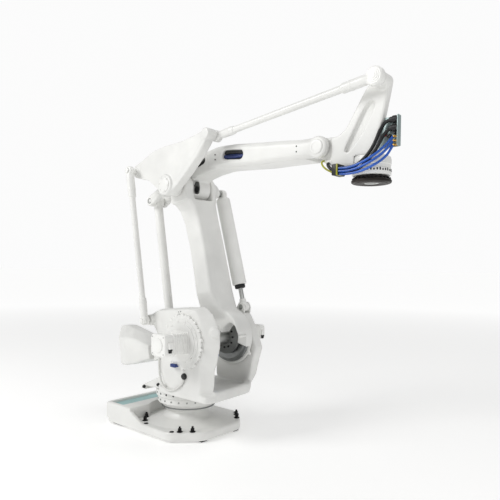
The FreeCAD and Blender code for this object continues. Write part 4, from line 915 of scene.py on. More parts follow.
@dataclass
class LowerArm:
    """The column with its drum and fork, the cap on the far ear, and the balancing cylinder."""

    shop: Workshop
    pivots: Pivots
    length: float = 1280.0
    half_depth: float = 94.0

    def build(self) -> None:
        """Make the pieces of the lower arm and of the balancer."""
        self._column()
        self._cap()
        self._balancer()

    def _lean(self, shape: Shape) -> Shape:
        """Bring a shape drawn upright about the shoulder to its place."""
        x, _, z = self.pivots.at("axis_2")
        return shape.moved(x, 0, z).turned(-self.pivots.lean, (x, 0, z))

    def _column(self) -> None:
        """The casting: a lofted column whose width shifts from far to near as it rises."""
        heights = [150, 260, 385, 590, 790, 990, 1090, 1150, 1190]
        depths = [150, 112, 96, 94, 94, 95, 98, 102, 102]
        nears = [45, -18, -61, -70, -80, -108, -140, -190, -220]
        fars = [226, 226, 220, 200, 178, 148, 134, 130, 130]
        sections = []
        for height, depth, near, far in zip(heights, depths, nears, fars):
            corners = [(-depth, near), (depth, near), (depth, far), (-depth, far)]
            section = rounded(corners, 34, 7)
            sections.append((float(height), section))
        column = loft(sections, 2)
        drum = disc(249, 45, 229, (0, 0, 0), 10, 1, 120)
        top = (0.0, 0.0, self.length)
        shapes = [column, drum]
        for near, far in ((-220, -131), (81, 130)):
            shapes.append(disc(110, near, far, top, 8, 1, 96))
            shapes.append(block((-102, near, 1150), (102, far, self.length), 6, 8))
        arch = plate(rounded([(30, -60), (262, -130), (244, 30), (205, 112), (150, 142),
                              (92, 100), (45, 40)], 36, 6), 30, 150, 2)
        under = plate(rounded([(-262, -10), (10, -22), (262, -124), (262, -300), (-262, -300)],
                              6), 30, 206, 2)
        wedge = plate(rounded([(-60, -40), (232, -150), (240, -122), (-52, -6)], 8), 120, 229, 5)
        gap = block((-160, -130, 1163), (160, 80, 1500), 20, 4)
        cutters = [self._lean(s) for s in (under, gap)]
        x, _, z = self.pivots.at("axis_2")
        cutters += [arch.moved(x, 0, z)]
        shapes = [self._lean(s) for s in shapes] + [wedge.moved(x, 0, z)]
        self.shop.casting("lower_arm_casting", shapes, cutters,
                          "lower_arm", CAST_ENAMEL, "white_paint", ("lower_arm",), 7.0, 7)
        # painted shade: a grey disc inside the drum stands in for the unlit inside of the casting
        dark = disc(150, 143, 172, (x, 0, z), 4, 1, 72)
        self.shop.piece("drum_shade_plate", [dark], "lower_arm", SHADE_PAINT, "white_paint")
        screws = around(socket_screw(9, 8, (0, 0, 0)).moved(0, 143, 96), 12, (0, 0, 0), 1, 10)
        self.shop.piece("drum_screws", [self._lean(s) for s in screws], "lower_arm",
                        BLACK_OXIDE, "white_paint")

    def _cap(self) -> None:
        """The cap on the far ear and the screws on it."""
        low, high = 130.0, 223.0
        centre = self.pivots.at("link_turn")
        cap = turned([(96, low - 2), (96, low + 10), (90, low + 16), (64, high - 20),
                      (52, high)], centre, 1, 72)
        top = self._top()
        boss = turned([(44, low), (42, high - 3), (39, high)], (top[0], 0, top[2]), 1, 56)
        self.shop.piece("elbow_cap", [cap, boss], "lower_arm", WHITE_ENAMEL, "white_paint",
                        ("elbow_cover",))
        screws = around(socket_screw(6, 5, (centre[0] + 82, low + 14, centre[2]), 1, 1.0), 8,
                        (centre[0], 0, centre[2]), 1, 20)
        self.shop.piece("elbow_cap_screws", screws, "lower_arm", PLATED_STEEL, "white_paint")

    def _top(self) -> tuple[float, float, float]:
        """The top pivot of the balancer: its place on the fork beside the elbow."""
        x, _, z = self.pivots.at("link_turn")
        return (x + 22.0, 290.0, z - 16.0)

    def _balancer(self) -> None:
        """Balancing cylinder with its seal, rod, eyes and pin, drawn hanging and then leaned."""
        foot, top = self.pivots.at("balancer_swing", 290.0), self._top()
        lean = math.degrees(math.atan2(top[0] - foot[0], top[2] - foot[2]))
        span = math.dist(foot, top)

        def hang(shape: Shape) -> Shape:
            """Bring a shape drawn under the origin to the balancer's line."""
            return shape.moved(*top).turned(lean, top)

        barrel = turned([(30, -30), (50, -40), (60, -50), (62, -62), (62, -828), (60, -834),
                         (40, -836)], (0, 0, 0), 2, 72)
        eye = disc(42, -25, 25, (0, 0, 0), 4, 1, 56)
        neck = block((-34, -24, -80), (34, 24, -10), 8, 6)
        self.shop.casting("balancer_barrel", [hang(s) for s in (barrel, eye, neck)], [],
                          "balancer", WHITE_ENAMEL, "white_paint", ("balancer_cylinder",),
                          4.5, 4)
        pin = [disc(24, -62, 31, (0, 0, 0), 3, 1, 40), disc(30, 26, 33, (0, 0, 0), 2, 1, 6)]
        self.shop.piece("balancer_top_pin", [hang(s) for s in pin], "balancer", PLATED_STEEL,
                        "white_paint")
        seal = turned([(40, -835), (46, -837), (46, -862), (38, -868), (26, -869)],
                      (0, 0, 0), 2, 48)
        self.shop.piece("balancer_seal", [hang(seal)], "balancer", BLACK_RUBBER, "white_paint")
        rod = disc(20, -span + 30, -700, (0, 0, 0), 2, 2, 40)
        self.shop.piece("piston_rod", [hang(rod)], "balancer_rod", GROUND_STEEL, "bare_steel",
                        ("balancer_rod",))
        low = (0, 0, -span)
        rod_eye = [disc(42, -25, 25, low, 4, 1, 56), disc(29, -span + 24, -span + 70,
                                                          (0, 0, 0), 5, 2, 40)]
        self.shop.piece("piston_eye", [hang(s) for s in rod_eye], "balancer_rod", WHITE_ENAMEL,
                        "bare_steel")
        foot_pin = [disc(24, 246, 334, (foot[0], 0, foot[2]), 3, 1, 40),
                    disc(31, 332, 339, (foot[0], 0, foot[2]), 2, 1, 6)]
        self.shop.piece("balancer_foot_bolt", foot_pin, "frame", PLATED_STEEL, "bare_steel",
                        ("balancer_foot_pin",))


@dataclass
class Linkage:
    """The crank with its counterweight, the rods, and the triangular link on the elbow."""

    shop: Workshop
    pivots: Pivots
    rod_y: float = -66.0

    def build(self) -> None:
        """Make the pieces of the crank, the rods and the link."""
        self._crank()
        self._weight()
        self._parallel_rod()
        self._link()
        self._thin_rods()

    @property
    def tilt(self) -> float:
        """How far the crank points down to the back, in degrees."""
        way = self.pivots.places["axis_2"] - self.pivots.places["crank_pin_turn"]
        return math.degrees(math.atan2(way[2], way[0]))

    def _swing(self, shape: Shape) -> Shape:
        """Bring a shape drawn level about the shoulder to the crank's line."""
        x, _, z = self.pivots.at("axis_2")
        return shape.moved(x, 0, z).turned(-self.tilt, (x, 0, z))

    def _crank(self) -> None:
        """The crank: hub, near lever, far cheek and the bridge behind the clevis."""
        hub = disc(160, -240, -116, (0, 0, 0), 8)
        nose = disc(103, -200, -71, (0, 0, 0), 5)
        lever = plate(rounded([(-540, -78), (0, -122), (60, 0), (0, 120), (-450, 60),
                               (-540, 18)], [30, 60, 60, 60, 40, 30]), -156, -116, 8)
        cheek = plate(rounded([(-540, -78), (-450, -58), (-386, -20), (-386, 30), (-450, 56),
                               (-540, 18)], 24), -16, 17, 6)
        bridge = plate(rounded([(-631, -148), (-480, -110), (-512, -54), (-530, -20),
                                (-631, 14)], 14), -156, 17, 6)
        self.shop.casting("crank_casting", [self._swing(s) for s in
                                            (hub, nose, lever, cheek, bridge)], [],
                          "parallel_arm", CAST_ENAMEL, "white_paint", ("parallel_arm",), 6.0, 5)
        x, _, z = self.pivots.at("crank_pin_turn")
        pin = [turned([(24.9, -155), (24.9, 18)], (x, 0, z), 1, 40)]
        self.shop.piece("crank_bolt", pin, "crank_pin", GROUND_STEEL, "bare_steel",
                        ("crank_pin",))

    def _weight(self) -> None:
        """The counterweight: a block whose top falls to the near side and narrows to the back."""
        stations = [(-629, -120, 2, 8, -200, 66), (-640, -126, 6, 14, -202, 67),
                    (-860, -156, 88, 118, -202, 68), (-1000, -159, 104, 178, -200, 68),
                    (-1110, -160, 110, 224, -150, 62), (-1196, -158, 112, 228, -112, 52),
                    (-1205, -150, 106, 222, -104, 44)]
        sections = []
        for x, bottom, near_top, ridge, near, far in stations:
            corners = [(near, bottom), (far, bottom), (far, ridge - 8), (-58, ridge),
                       (near, near_top)]
            section = rounded(corners, [22, 22, 22, 40, 30], 6)
            sections.append((float(x), section))
        weight = loft(sections, 0)
        self.shop.casting("counterweight_block", [self._swing(weight)], [], "parallel_arm",
                          CAST_ENAMEL, "white_paint", ("counterweight",), 7.0, 6)

    def _parallel_rod(self) -> None:
        """The thick rod between its two round eyes."""
        low = self.pivots.at("crank_pin_turn", self.rod_y)
        start, end = self.pivots.places["axis_2"], self.pivots.places["link_turn"]
        top = (low[0] + end[0] - start[0], self.rod_y, low[2] + end[2] - start[2])
        way = (np.array(top) - np.array(low)) / math.dist(top, low)
        spots = [0, 44, 60, 90, 1190, 1220, 1236, 1280]
        radii = [36, 38, 40, 39, 39, 40, 38, 36]
        path = np.array(low) + np.array(spots)[:, None] * way
        shapes = [tube(path, np.array(radii, float), 36)]
        shapes += [disc(48, -44, 44, spot, 6, 1, 56) for spot in (low, top)]
        cutters = [disc(27, -60, 60, top, 1, 1, 32)]
        self.shop.casting("parallel_rod_casting", shapes, cutters, "parallel_rod", WHITE_ENAMEL,
                          "white_paint", ("parallel_rod",), 5.0, 4)

    def _link(self) -> None:
        """The triangular link: a thin web, a thick rim along its front edge, hub and bosses."""
        x, _, z = self.pivots.at("link_turn")
        outline = [(-430, 196), (-430, 110), (-400, 96), (-221, 54), (-115, -22), (-70, -78),
                   (20, -84), (84, -34), (150, 4), (379, 188), (490, 330), (494, 372),
                   (462, 392), (420, 372), (194, 329), (-40, 318), (-183, 292), (-300, 244)]
        radii = [34, 34, 40, 160, 90, 60, 80, 60, 60, 120, 60, 30, 30, 40, 200, 200, 120, 120]
        web = plate(rounded([(x + a, z + b) for a, b in outline], radii, 6), -341, -308, 6)
        front_edge = [(52, -72), (134, -14), (254, 82), (374, 190), (456, 286), (486, 350),
                      (462, 362), (436, 312), (350, 220), (230, 112), (112, 16), (36, -40)]
        rim = plate(rounded([(x + a, z + b) for a, b in front_edge], 60, 5), -345, -262, 6)
        top_path = smooth_path([(x + a, -326, z + b) for a, b in
                                ((430, 366), (190, 312), (-60, 300), (-190, 276), (-400, 180))])
        top_rim = tube(top_path, 13.0, 16)
        hub = disc(82, -362, -222, (x, 0, z), 8)
        front = self.pivots.at("upper_rod_turn")
        rear = self._rear()
        front_boss = disc(44, -352, -256, front, 6)
        rear_boss = disc(40, -352, -306, (rear[0], 0, rear[2]), 6)
        self.shop.casting("link_casting", [web, rim, top_rim, hub, front_boss, rear_boss], [],
                          "link", CAST_ENAMEL, "white_paint", ("link_plate",), 5.5, 5)
        pins = [disc(19.9, -447, -340, (rear[0], 0, rear[2]), 2, 1, 32),
                disc(19.9, -300, -183, front, 2, 1, 32)]
        self.shop.piece("link_pins", pins, "link", WHITE_ENAMEL, "white_paint")
        centre = (x, 0, z)
        shaft = [turned([(44.9, -364), (44.9, 130)], centre, 1, 56),
                 disc(60, -368, -361, centre, 2)]
        self.shop.piece("elbow_spindle", shaft, "link", WHITE_ENAMEL, "bare_steel",
                        ("elbow_shaft",))
        screws = around(socket_screw(6, 4, (x + 52, -367, z)), 6, centre, 1, 12)
        self.shop.piece("link_screws", screws, "link", WHITE_ENAMEL, "white_paint")

    def _rear(self) -> tuple[float, float, float]:
        """The link's rear pin: the foot pin carried along the lower arm."""
        foot = self.pivots.places["lower_rod_turn"]
        spot = foot + self.pivots.places["link_turn"] - self.pivots.places["axis_2"]
        return (float(spot[0]), 0.0, float(spot[2]))

    def _thin_rods(self) -> None:
        """The two levelling rods with their sleeves, nuts and eyes."""
        foot, rear = self.pivots.at("lower_rod_turn", -410.0), self._rear()
        self._rod("lower_rod", foot, (rear[0], -410.0, rear[2]), 40.0, 40.0, "lower_rod")
        front = self.pivots.at("upper_rod_turn", -217.0)
        reach = self.pivots.places["wrist_level"] - self.pivots.places["link_turn"]
        head = (front[0] + float(reach[0]), -217.0, front[2] + float(reach[2]))
        self._rod("upper_rod", front, head, 44.0, 60.0, "upper_rod")

    def _rod(self, name: str, low: tuple[float, float, float],
             high: tuple[float, float, float], low_eye: float, high_eye: float,
             body: str) -> None:
        """One levelling rod: tube, tapered sleeves, lock nuts and eyes.

        Args:
            name: Name of the pieces and of the CAD node.
            low: Centre of the first eye.
            high: Centre of the second eye.
            low_eye: Radius of the first eye.
            high_eye: Radius of the second eye.
            body: The CAD body.
        """
        span = math.dist(low, high)
        way = (np.array(high) - np.array(low)) / span
        spots = [low_eye * 0.5, 70, 72, 142, 144, 156, 158, 186, 188, span - 230, span - 228,
                 span - 172, span - 170, span - 158, span - 156, span - high_eye - 20,
                 span - high_eye * 0.5]
        radii = [30, 30, 32, 32, 34, 34, 32, 31, 25, 25, 33, 33, 35.5, 35.5, 34, 34, 30]
        path = np.array(low) + np.array(spots, float)[:, None] * way
        shapes = [tube(path, np.array(radii, float), 32)]
        shapes += [disc(low_eye, -27, 27, low, 8, 1, 56), disc(high_eye, -24, 24, high, 8, 1, 72)]
        self.shop.casting(f"{name}_body", shapes, [disc(22, -60, 60, high, 1, 1, 32)], body,
                          WHITE_ENAMEL, "white_paint", (name,), 3.5, 2)
        rings = [turned([(r, -31), (r, -25), (r - 5, -24)], low, 1, 48) for r in (low_eye - 8,)]
        if high_eye > 50:
            rings += [turned([(r, -24 - h), (r + 1.5, -24 - h), (r + 3, -23), (r + 4, -20)],
                             high, 1, 64) for r, h in ((48, 3), (37, 6), (26, 9), (14, 12))]
        self.shop.piece(f"{name}_rings", rings, body, WHITE_ENAMEL, "white_paint")


@dataclass
class UpperArm:
    """The long casting from the elbow to the wrist, with its rear lug and windows."""

    shop: Workshop
    pivots: Pivots
    length: float = 1350.0
    lug_reach: float = 450.0
    lug_drop: float = 3.75
    front_window: tuple = (578, 141, 224, 72, 13)
    rear_window: tuple = (190, 174, 122, 50, -13)
    # margin of the painted shade sheets set inside the windows
    shade_sheet_margin: float = 3.0

    def build(self) -> None:
        """Make the arm, its windows' hoses, covers and screws."""
        self._casting()
        self._windows()
        self._covers()

    def _along(self, shape: Shape) -> Shape:
        """Bring a shape drawn level about the elbow to the arm's line."""
        x, _, z = self.pivots.at("link_turn")
        return shape.moved(x, 0, z).turned(-self.pivots.rise, (x, 0, z))

    def _casting(self) -> None:
        """Hub, narrow root, wide box with bevelled edges, forked nose and forked rear lug."""
        root = plate(rounded([(-60, 20), (60, 10), (96, 44), (150, 62), (260, 74), (420, 74),
                              (520, 150), (520, 236), (408, 250), (290, 246), (60, 192),
                              (-100, 138)], [20, 20, 40, 60, 80, 30, 40, 40, 120, 160, 90, 60]),
                     -125, 75, 8)
        stations = [(300, 250, 84, -128, 78), (360, 255, 76, -138, 92),
                    (440, 250, 70, -148, 106), (609, 222, 42, -152, 112),
                    (800, 180, 8, -154, 114), (1044, 130, -22, -156, 116),
                    (1210, 92, -46, -158, 117), (1300, 80, -62, -160, 118),
                    (1350, 72, -70, -160, 118)]
        sections = []
        for x, top, bottom, near, far in stations:
            fold, brow = 30.0, 34.0
            corners = [(near, bottom + fold), (near + 34, bottom), (far - 34, bottom),
                       (far, bottom + fold), (far, top - brow), (far - 30, top),
                       (near + 30, top), (near, top - brow)]
            section = rounded(corners, [10, 26, 26, 20, 34, 34, 34, 34], 5)
            sections.append((float(x), section))
        wide = loft(sections, 0)
        tip = (self.length, 0, 0)
        nose = disc(75, -160, 118, tip, 9)
        hub = disc(104, -125, 75, (0, 0, 0), 10, 1, 96)
        drop = math.radians(self.lug_drop)
        rear = (-self.lug_reach * math.cos(drop), 0, -self.lug_reach * math.sin(drop))
        lug = plate(rounded([(rear[0] + 14, rear[2] - 46), (-108, 84), (0, 60), (60, 188),
                             (-100, 136), (rear[0] - 14, rear[2] + 46)],
                            [30, 60, 20, 40, 120, 30]), -161, 29, 8)
        lug_end = disc(48, -161, 29, rear, 8)
        cut_rod = block((rear[0] - 90, -115, rear[2] - 90), (rear[0] + 138, -17, rear[2] + 130),
                        10, 2)
        cut_wrist = block((1222, -108, -160), (1500, 83, 200), 24, 4)
        window = plate(oval(*self.front_window), -170, -96, 2)
        second = plate(oval(*self.rear_window), -140, -84, 2)
        mouth = plate(rounded([(40, -62), (100, -62), (112, -10), (112, 44), (60, 52),
                               (36, 20)], 22, 6), -140, -56, 2)
        self.shop.casting("upper_arm_casting",
                          [self._along(s) for s in (root, wide, nose, hub, lug, lug_end)],
                          [self._along(s) for s in (cut_rod, cut_wrist, window, second, mouth)],
                          "upper_arm", CAST_ENAMEL, "white_paint", ("upper_arm",), 7.0, 6)
        pin = turned([(24.9, -161), (24.9, 29)], rear, 1, 40)
        self.shop.piece("rear_bolt", [self._along(pin)], "upper_arm", GROUND_STEEL,
                        "bare_steel", ("rear_pin",))

    def _windows(self) -> None:
        """Dark sheets of painted shade inside the windows, and the hoses that show through the near
        face's windows.
        """
        # painted shade: dark sheets inside the windows and the mouth stand in for the unlit inside
        # of the casting
        shade_sheet, second = (plate(oval(x, z, length - self.shade_sheet_margin,
                                     height - self.shade_sheet_margin, tilt), near, far, 1)
                          for (x, z, length, height, tilt), near, far
                          in ((self.front_window, -104, -97), (self.rear_window, -90, -85)))
        mouth = plate(rounded([(42, -60), (86, -60), (102, -10), (98, 40), (60, 50),
                               (38, 20)], 20, 6), -64, -57, 1)
        self.shop.piece("window_shade_sheets", [self._along(s) for s in (shade_sheet, second, mouth)],
                        "upper_arm", SHADE_PAINT, "white_paint")
        blue = [tube(smooth_path([(474, -120, 128), (540, -124, 124), (610, -124, 128),
                                  (684, -118, 138)]), 13),
                tube(smooth_path([(476, -112, 138), (560, -114, 142), (682, -112, 148)]), 8)]
        across, rise, _, _, tilt = self.front_window
        pivot = (across, 0, rise)
        blue = [shape.turned(tilt, pivot) for shape in blue]
        self.shop.piece("window_blue_hose", [self._along(s) for s in blue], "upper_arm",
                        DEEP_BLUE, "white_paint")
        black = [tube(smooth_path([(474, -118, y), (570, -120, y + 5), (684, -116, y - 2)]), 10)
                 for y in (156, 166)]
        black = [shape.turned(tilt, pivot) for shape in black]
        black += [tube(smooth_path([(138, -100, 164), (190, -102, 174), (240, -100, 186)]), 9)]
        black += [turned([(26, 0), (26, -8), (16, -10)], (74, -64, -20), 1, 32)]
        self.shop.piece("window_black_hose", [self._along(s) for s in black], "upper_arm",
                        BLACK_RUBBER, "white_paint")

    def _covers(self) -> None:
        """The round wrist covers and the two pairs of screw holes on the near face."""
        tip = (self.length, 0, 0)
        covers = [turned([(49, -158), (49, -164), (45, -167.5), (34, -168), (33, -166),
                          (12, -166)], tip, 1, 64),
                  turned([(49, 116), (49, 117.5), (45, 118), (12, 118)], tip, 1, 64)]
        self.shop.piece("wrist_covers", [self._along(s) for s in covers], "upper_arm",
                        WHITE_ENAMEL, "white_paint", ("wrist_cover",))
        spots = [(390, 186, -144.5), (386, 147, -144.5), (1187, 45, -157.5), (1183, 8, -157.5)]
        holes = [disc(5.5, y - 1.2, y + 3, (x, 0, z), 0.4, 1, 18) for x, z, y in spots]
        self.shop.piece("cover_screw_holes", [self._along(s) for s in holes], "upper_arm",
                        BLACK_OXIDE, "white_paint")


@dataclass
class Wrist:
    """The tilt house with its hose clamp and connector plate, the turret and the tool disc."""

    shop: Workshop
    pivots: Pivots

    def build(self) -> None:
        """Make the wrist's pieces."""
        self._house()
        self._turret()
        self._disc()
        self._clamp()
        self._connectors()

    def _local(self, shape: Shape) -> Shape:
        """Bring a shape drawn about the wrist axis to its place."""
        x, _, z = self.pivots.at("wrist_level")
        return shape.moved(x, 0, z)

    def _house(self) -> None:
        """The casting: a thick boot under the wrist that runs up into a thin plate."""
        front = [(357, -96), (422, -14), (456, 107), (492, 270), (502, 326), (496, 376),
                 (458, 398), (412, 384), (338, 334), (190, 96), (127, 58), (0, 66)]
        outline = [(0, -66), (40, -116), (140, -154), (262, -149)] + front
        radii = [30, 80, 90, 90, 110, 110, 160, 60, 40, 40, 40, 60, 120, 90, 60, 30]
        web = plate(rounded(outline, radii, 7), -112, -62, 11)
        belly_points = [(0, -66), (40, -116), (140, -154), (262, -149), (352, -96), (396, -40),
                        (396, 48), (338, 108), (230, 100), (127, 56), (0, 66)]
        belly_radii = [30, 80, 90, 90, 110, 70, 70, 80, 60, 60, 30]
        belly = plate(rounded(belly_points, belly_radii, 7), -104, 78, 14)
        hub = disc(67, -103, 78, (0, 0, 0), 8)
        head = disc(48, -172, -64, (458, 0, 347), 8)
        recess = plate(rounded([(404, 208), (388, 246), (352, 244), (318, 196), (196, -20),
                                (186, -52), (214, -58), (300, 30)],
                               [34, 30, 30, 60, 20, 14, 20, 120], 7), -140, -88, 2)
        fork = block((-90, -140, -90), (86, -103, 90), 20, 2)
        turret_gap = disc(128, -300, -86, (327, 0, 0), 1, 2, 72)
        self.shop.casting("tilt_house_casting",
                          [self._local(s) for s in (web, belly, hub, head)],
                          [self._local(s) for s in (recess, fork, turret_gap)], "wrist",
                          CAST_ENAMEL, "white_paint", ("tilt_house",), 5.0, 7)
        pin = turned([(19.9, -249), (19.9, -160)], (458, 0, 347), 1, 32)
        self.shop.piece("head_pin", [self._local(pin)], "wrist", WHITE_ENAMEL, "white_paint")
        spindle = turned([(31.9, -160), (31.9, 118)], (0, 0, 0), 1, 48)
        self.shop.piece("wrist_spindle", [self._local(spindle)], "wrist", GROUND_STEEL,
                        "bare_steel", ("wrist_shaft",))

    def _turret(self) -> None:
        """The upright housing under the house, with a ring of dark marks near its foot."""
        centre = self.pivots.at("wrist_turn")
        shape = turned([(66, 49), (120, 49), (124, 52), (126, 58), (126, 92), (122, 96),
                        (122, 116), (126, 120), (126, 150), (122, 168), (112, 175), (60, 176)],
                       centre, 2, 120)
        self.shop.piece("turret_housing", [shape], "wrist", WHITE_ENAMEL, "white_paint",
                        ("wrist_turret",))
        marks = []
        for i in range(13):
            mark = block((-4, -127.2, 72), (5, -120, 84 + 3 * (i % 3)), 1.5, 0.5)
            marks.append(mark.moved(*centre).turned(8 + i * 9, centre, 2))
        self.shop.piece("turret_marks", marks, "wrist", BLACK_OXIDE, "white_paint")

    def _disc(self) -> None:
        """The turning disc: toothed rim, bolt ring and the recess in the middle."""
        centre = self.pivots.at("wrist_turn")
        body = turned([(50, 8), (50, 0.8), (52, 0), (104, 0), (106, 3), (122, 3), (128, 6),
                       (130, 10), (130, 20), (126, 24), (116, 26), (112, 30), (112, 42),
                       (108, 44), (60, 46)], centre, 2, 144)
        self.shop.piece("tool_disc", [body], "tool", PHOSPHATED, "dark_disc",
                        ("turning_disc",), 25)
        screws = around(socket_screw(8, 7, (80, 0, 0), 2, -0.1), 6, (0, 0, 0), 2)
        screws = [s.moved(*centre) for s in screws]
        ring = [s.moved(*centre) for s in
                around(disc(7, 26.5, 36, (118, 0, 0), 1.5, 2, 12), 24, (0, 0, 0), 2)]
        self.shop.piece("disc_screws", screws + ring, "tool", BLACK_OXIDE, "dark_disc")
        inner = turned([(49, 7.4), (49, 3), (40, 2.4), (30, 5), (30, 7.6)], centre, 2, 72)
        self.shop.piece("disc_spigot", [inner], "tool", GROUND_STEEL, "dark_disc")

    def _clamp(self) -> None:
        """The hose clamp under the house and its yellow band."""
        low, high = (np.array(corner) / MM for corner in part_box("hose_clamp"))
        body = block(tuple(low), tuple(high), 10, 4)
        jaw = block((low[0] + 6, low[1] - 0.1, low[2] + 10),
                    (high[0] - 6, low[1] + 4, high[2] - 10), 5, 1.5)
        self.shop.piece("clamp_body", [body, jaw], "wrist", BLACK_NYLON, "black_plastic",
                        ("hose_clamp",))
        band = block((high[0] - 16, low[1] - 1, low[2] - 0.5), (high[0] - 4, high[1] - 20,
                                                                 high[2] + 0.5), 8, 1)
        self.shop.piece("clamp_band", [band], "wrist", EARTH_LEAD, "earth_lead")

    def _connectors(self) -> None:
        """The folded sheet in front of the wrist with its plugs, fittings and red cap."""
        low, high = (np.array(corner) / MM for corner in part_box("connector_plate"))
        sheet = block((low[0], -90, low[2]), (high[0] - 2, -84, high[2]), 8, 1)
        flange = block((high[0] - 6, low[1], low[2]), (high[0], -84, high[2]), 6, 1, 0)
        self.shop.piece("connector_sheet", [sheet, flange], "wrist", PLATE_LACQUER,
                        "teal_panel", ("connector_plate",))
        x, _, z = self.pivots.at("wrist_level")
        face = high[0] - 6
        plugs, fittings = [], []
        for rise in (101, 50):
            plugs.append(turned([(16, -56), (18, -50), (18, -36), (22, -34), (22, -12), (20, -10),
                                 (20, 0)], (face, -110, z + rise), 0, 36))
            plugs += around(turned([(1.6, -33), (1.6, -13)], (face, -110, z + rise + 21.4), 0, 6),
                            18, (face, -110, z + rise), 0)
        for drop in (3, 29, 55):
            fittings.append(turned([(7, -32), (8.5, -30), (8.5, -20), (6, -19), (6, -14)],
                                   (face, -110, z - drop), 0, 20))
            fittings.append(turned([(9, -14), (9, -4), (7, -3), (7, 0)], (face, -110, z - drop),
                                   0, 6))
        self.shop.piece("round_connectors", plugs, "wrist", BLACK_NYLON, "black_plastic",
                        ("plug_connectors",))
        self.shop.piece("brass_fittings", fittings, "wrist", BRASS, "black_plastic", crisp=25)
        small = [turned([(12, 0), (12, -14), (9, -18)], (x + 498, -90, z + 4), 1, 20),
                 turned([(12, 0), (12, -14), (9, -18)], (x + 532, -90, z + 24), 1, 20)]
        self.shop.piece("small_sockets", small, "wrist", BLACK_NYLON, "black_plastic")
        red = turned([(10, 0), (10, -16), (7, -20)], (x + 466, -90, z + 18), 1, 20)
        self.shop.piece("red_cap", [red], "wrist", RED_CAP, "black_plastic")


# ---------------------------------------------------------------- studio

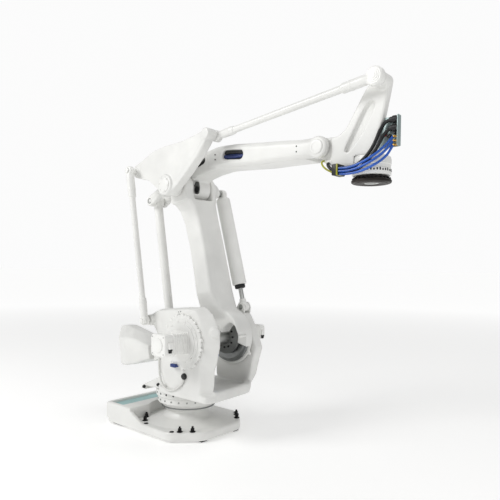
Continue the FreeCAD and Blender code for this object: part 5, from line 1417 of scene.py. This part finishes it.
@dataclass
class Studio:
    """Camera, floor and soft light."""

    place: tuple[float, float, float] = (3417.9, -3098.9, 1442.8)
    azimuth: float = 41.16
    pitch: float = -1.667
    roll: float = 0.57
    lens: float = 37.55
    rise: float = 0.0576
    sky: float = 0.44
    backdrop: float = 0.97
    floor_size: float = 240.0
    target: tuple[float, float, float] = (0.6, 0.0, 1.3)

    def build(self) -> None:
        """Set the camera, the floor and the lights."""
        self._camera()
        self._floor()
        self._lights()

    def _camera(self) -> None:
        """Aim the camera by its azimuth, pitch and roll."""
        az, el, ro = (math.radians(v) for v in (self.azimuth, self.pitch, self.roll))
        ahead = np.array([-math.sin(az) * math.cos(el), math.cos(az) * math.cos(el),
                          math.sin(el)])
        right = np.array([math.cos(az), math.sin(az), 0.0])
        up = np.cross(right, ahead)
        side = right * math.cos(ro) + up * math.sin(ro)
        top = -right * math.sin(ro) + up * math.cos(ro)
        data = bpy.data.cameras.new("camera")
        data.lens, data.sensor_width, data.shift_y = self.lens, 36.0, self.rise
        data.clip_end = 400.0
        camera = bpy.data.objects.new("camera", data)
        turn = Matrix(np.column_stack([side, top, -ahead]).tolist()).to_4x4()
        camera.matrix_world = Matrix.Translation(np.array(self.place) * MM) @ turn
        bpy.context.scene.collection.objects.link(camera)
        bpy.context.scene.camera = camera

    def _floor(self) -> None:
        """A pale flat floor whose glow rises with distance so that it fades into the far backdrop.
        """
        half = self.floor_size / 2
        mesh = bpy.data.meshes.new("floor")
        mesh.from_pydata([(-half, -half, 0), (half, -half, 0), (half, half, 0),
                          (-half, half, 0)], [], [(0, 1, 2, 3)])
        floor = bpy.data.objects.new("floor", mesh)
        bpy.context.scene.collection.objects.link(floor)
        material = bpy.data.materials.new("pale_floor")
        material.use_nodes = True
        shader = material.node_tree.nodes["Principled BSDF"]
        shader.inputs["Base Color"].default_value = linear("#F6F6F5")
        shader.inputs["Roughness"].default_value = 0.55
        shader.inputs["Emission Color"].default_value = (1.0, 1.0, 1.0, 1.0)
        tree = material.node_tree
        spot = add_node(tree, "ShaderNodeTexCoord").outputs["Object"]
        far = add_node(tree, "ShaderNodeVectorMath", {"operation": "LENGTH"}, {0: spot})
        glow = add_node(tree, "ShaderNodeMapRange",
                        {"From Min": 2.0, "From Max": 14.0, "To Min": 0.24, "To Max": 0.56},
                        {"Value": far.outputs["Value"]})
        tree.links.new(glow.outputs["Result"], shader.inputs["Emission Strength"])
        mesh.materials.append(material)

    def _lights(self) -> None:
        """A bright even sky with a large soft key from the front left and a weak fill."""
        world = bpy.data.worlds.new("studio")
        bpy.context.scene.world = world
        world.use_nodes = True
        tree = world.node_tree
        tree.nodes["Background"].inputs["Color"].default_value = (1.0, 1.0, 1.0, 1.0)
        seen = add_node(tree, "ShaderNodeLightPath").outputs["Is Camera Ray"]
        level = add_node(tree, "ShaderNodeMapRange",
                         {"To Min": self.sky, "To Max": self.backdrop}, {"Value": seen})
        tree.links.new(level.outputs["Result"], tree.nodes["Background"].inputs["Strength"])
        for name, place, energy, size in (("key", (-2.6, -6.0, 5.6), 300.0, 3.2),
                                          ("top", (2.0, 1.5, 7.0), 90.0, 4.0),
                                          ("fill", (7.0, -2.5, 2.6), 26.0, 4.0)):
            data = bpy.data.lights.new(name, "AREA")
            data.energy, data.size = energy, size
            light = bpy.data.objects.new(name, data)
            way = Vector(self.target) - Vector(place)
            light.location = place
            light.rotation_euler = way.to_track_quat("-Z", "Y").to_euler()
            bpy.context.scene.collection.objects.link(light)
        bpy.context.scene.view_settings.view_transform = "Standard"


def dress_cad_nodes(shop: Workshop, nodes: dict[str, bpy.types.Object]) -> None:
    """Give every CAD node a finish, shown or not, so that none is left plain."""
    finishes = {"foot_pads": BLACK_OXIDE, "shoulder_shaft": GROUND_STEEL,
                "turning_disc": PHOSPHATED, "recess_panel": TEAL_LACQUER,
                "black_hoses": BLACK_RUBBER, "blue_hoses": BLUE_HOSE, "earth_loop": EARTH_LEAD,
                "wall_cable": WHITE_LEAD, "frame_hose": BLUE_HOSE}
    for name, node in nodes.items():
        finish = finishes.get(name, WHITE_ENAMEL)
        node.data.materials.clear()
        node.data.materials.append(shop.paint.material(finish))


def main() -> None:
    """Load the frame and build the robot round it."""
    logging.basicConfig(level=logging.INFO, format="%(name)s %(message)s")
    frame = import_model()
    shop = Workshop()
    pivots = Pivots.read(frame["joints"])
    dress_cad_nodes(shop, frame["nodes"])
    Studio().build()
    for assembly in (Base(shop), TurningFrame(shop, pivots), LowerArm(shop, pivots),
                     Linkage(shop, pivots), UpperArm(shop, pivots), Wrist(shop, pivots)):
        assembly.build()
        LOG.info("%s done, %d triangles so far", type(assembly).__name__, shop.triangles)


if __name__ == "__main__":
    main()
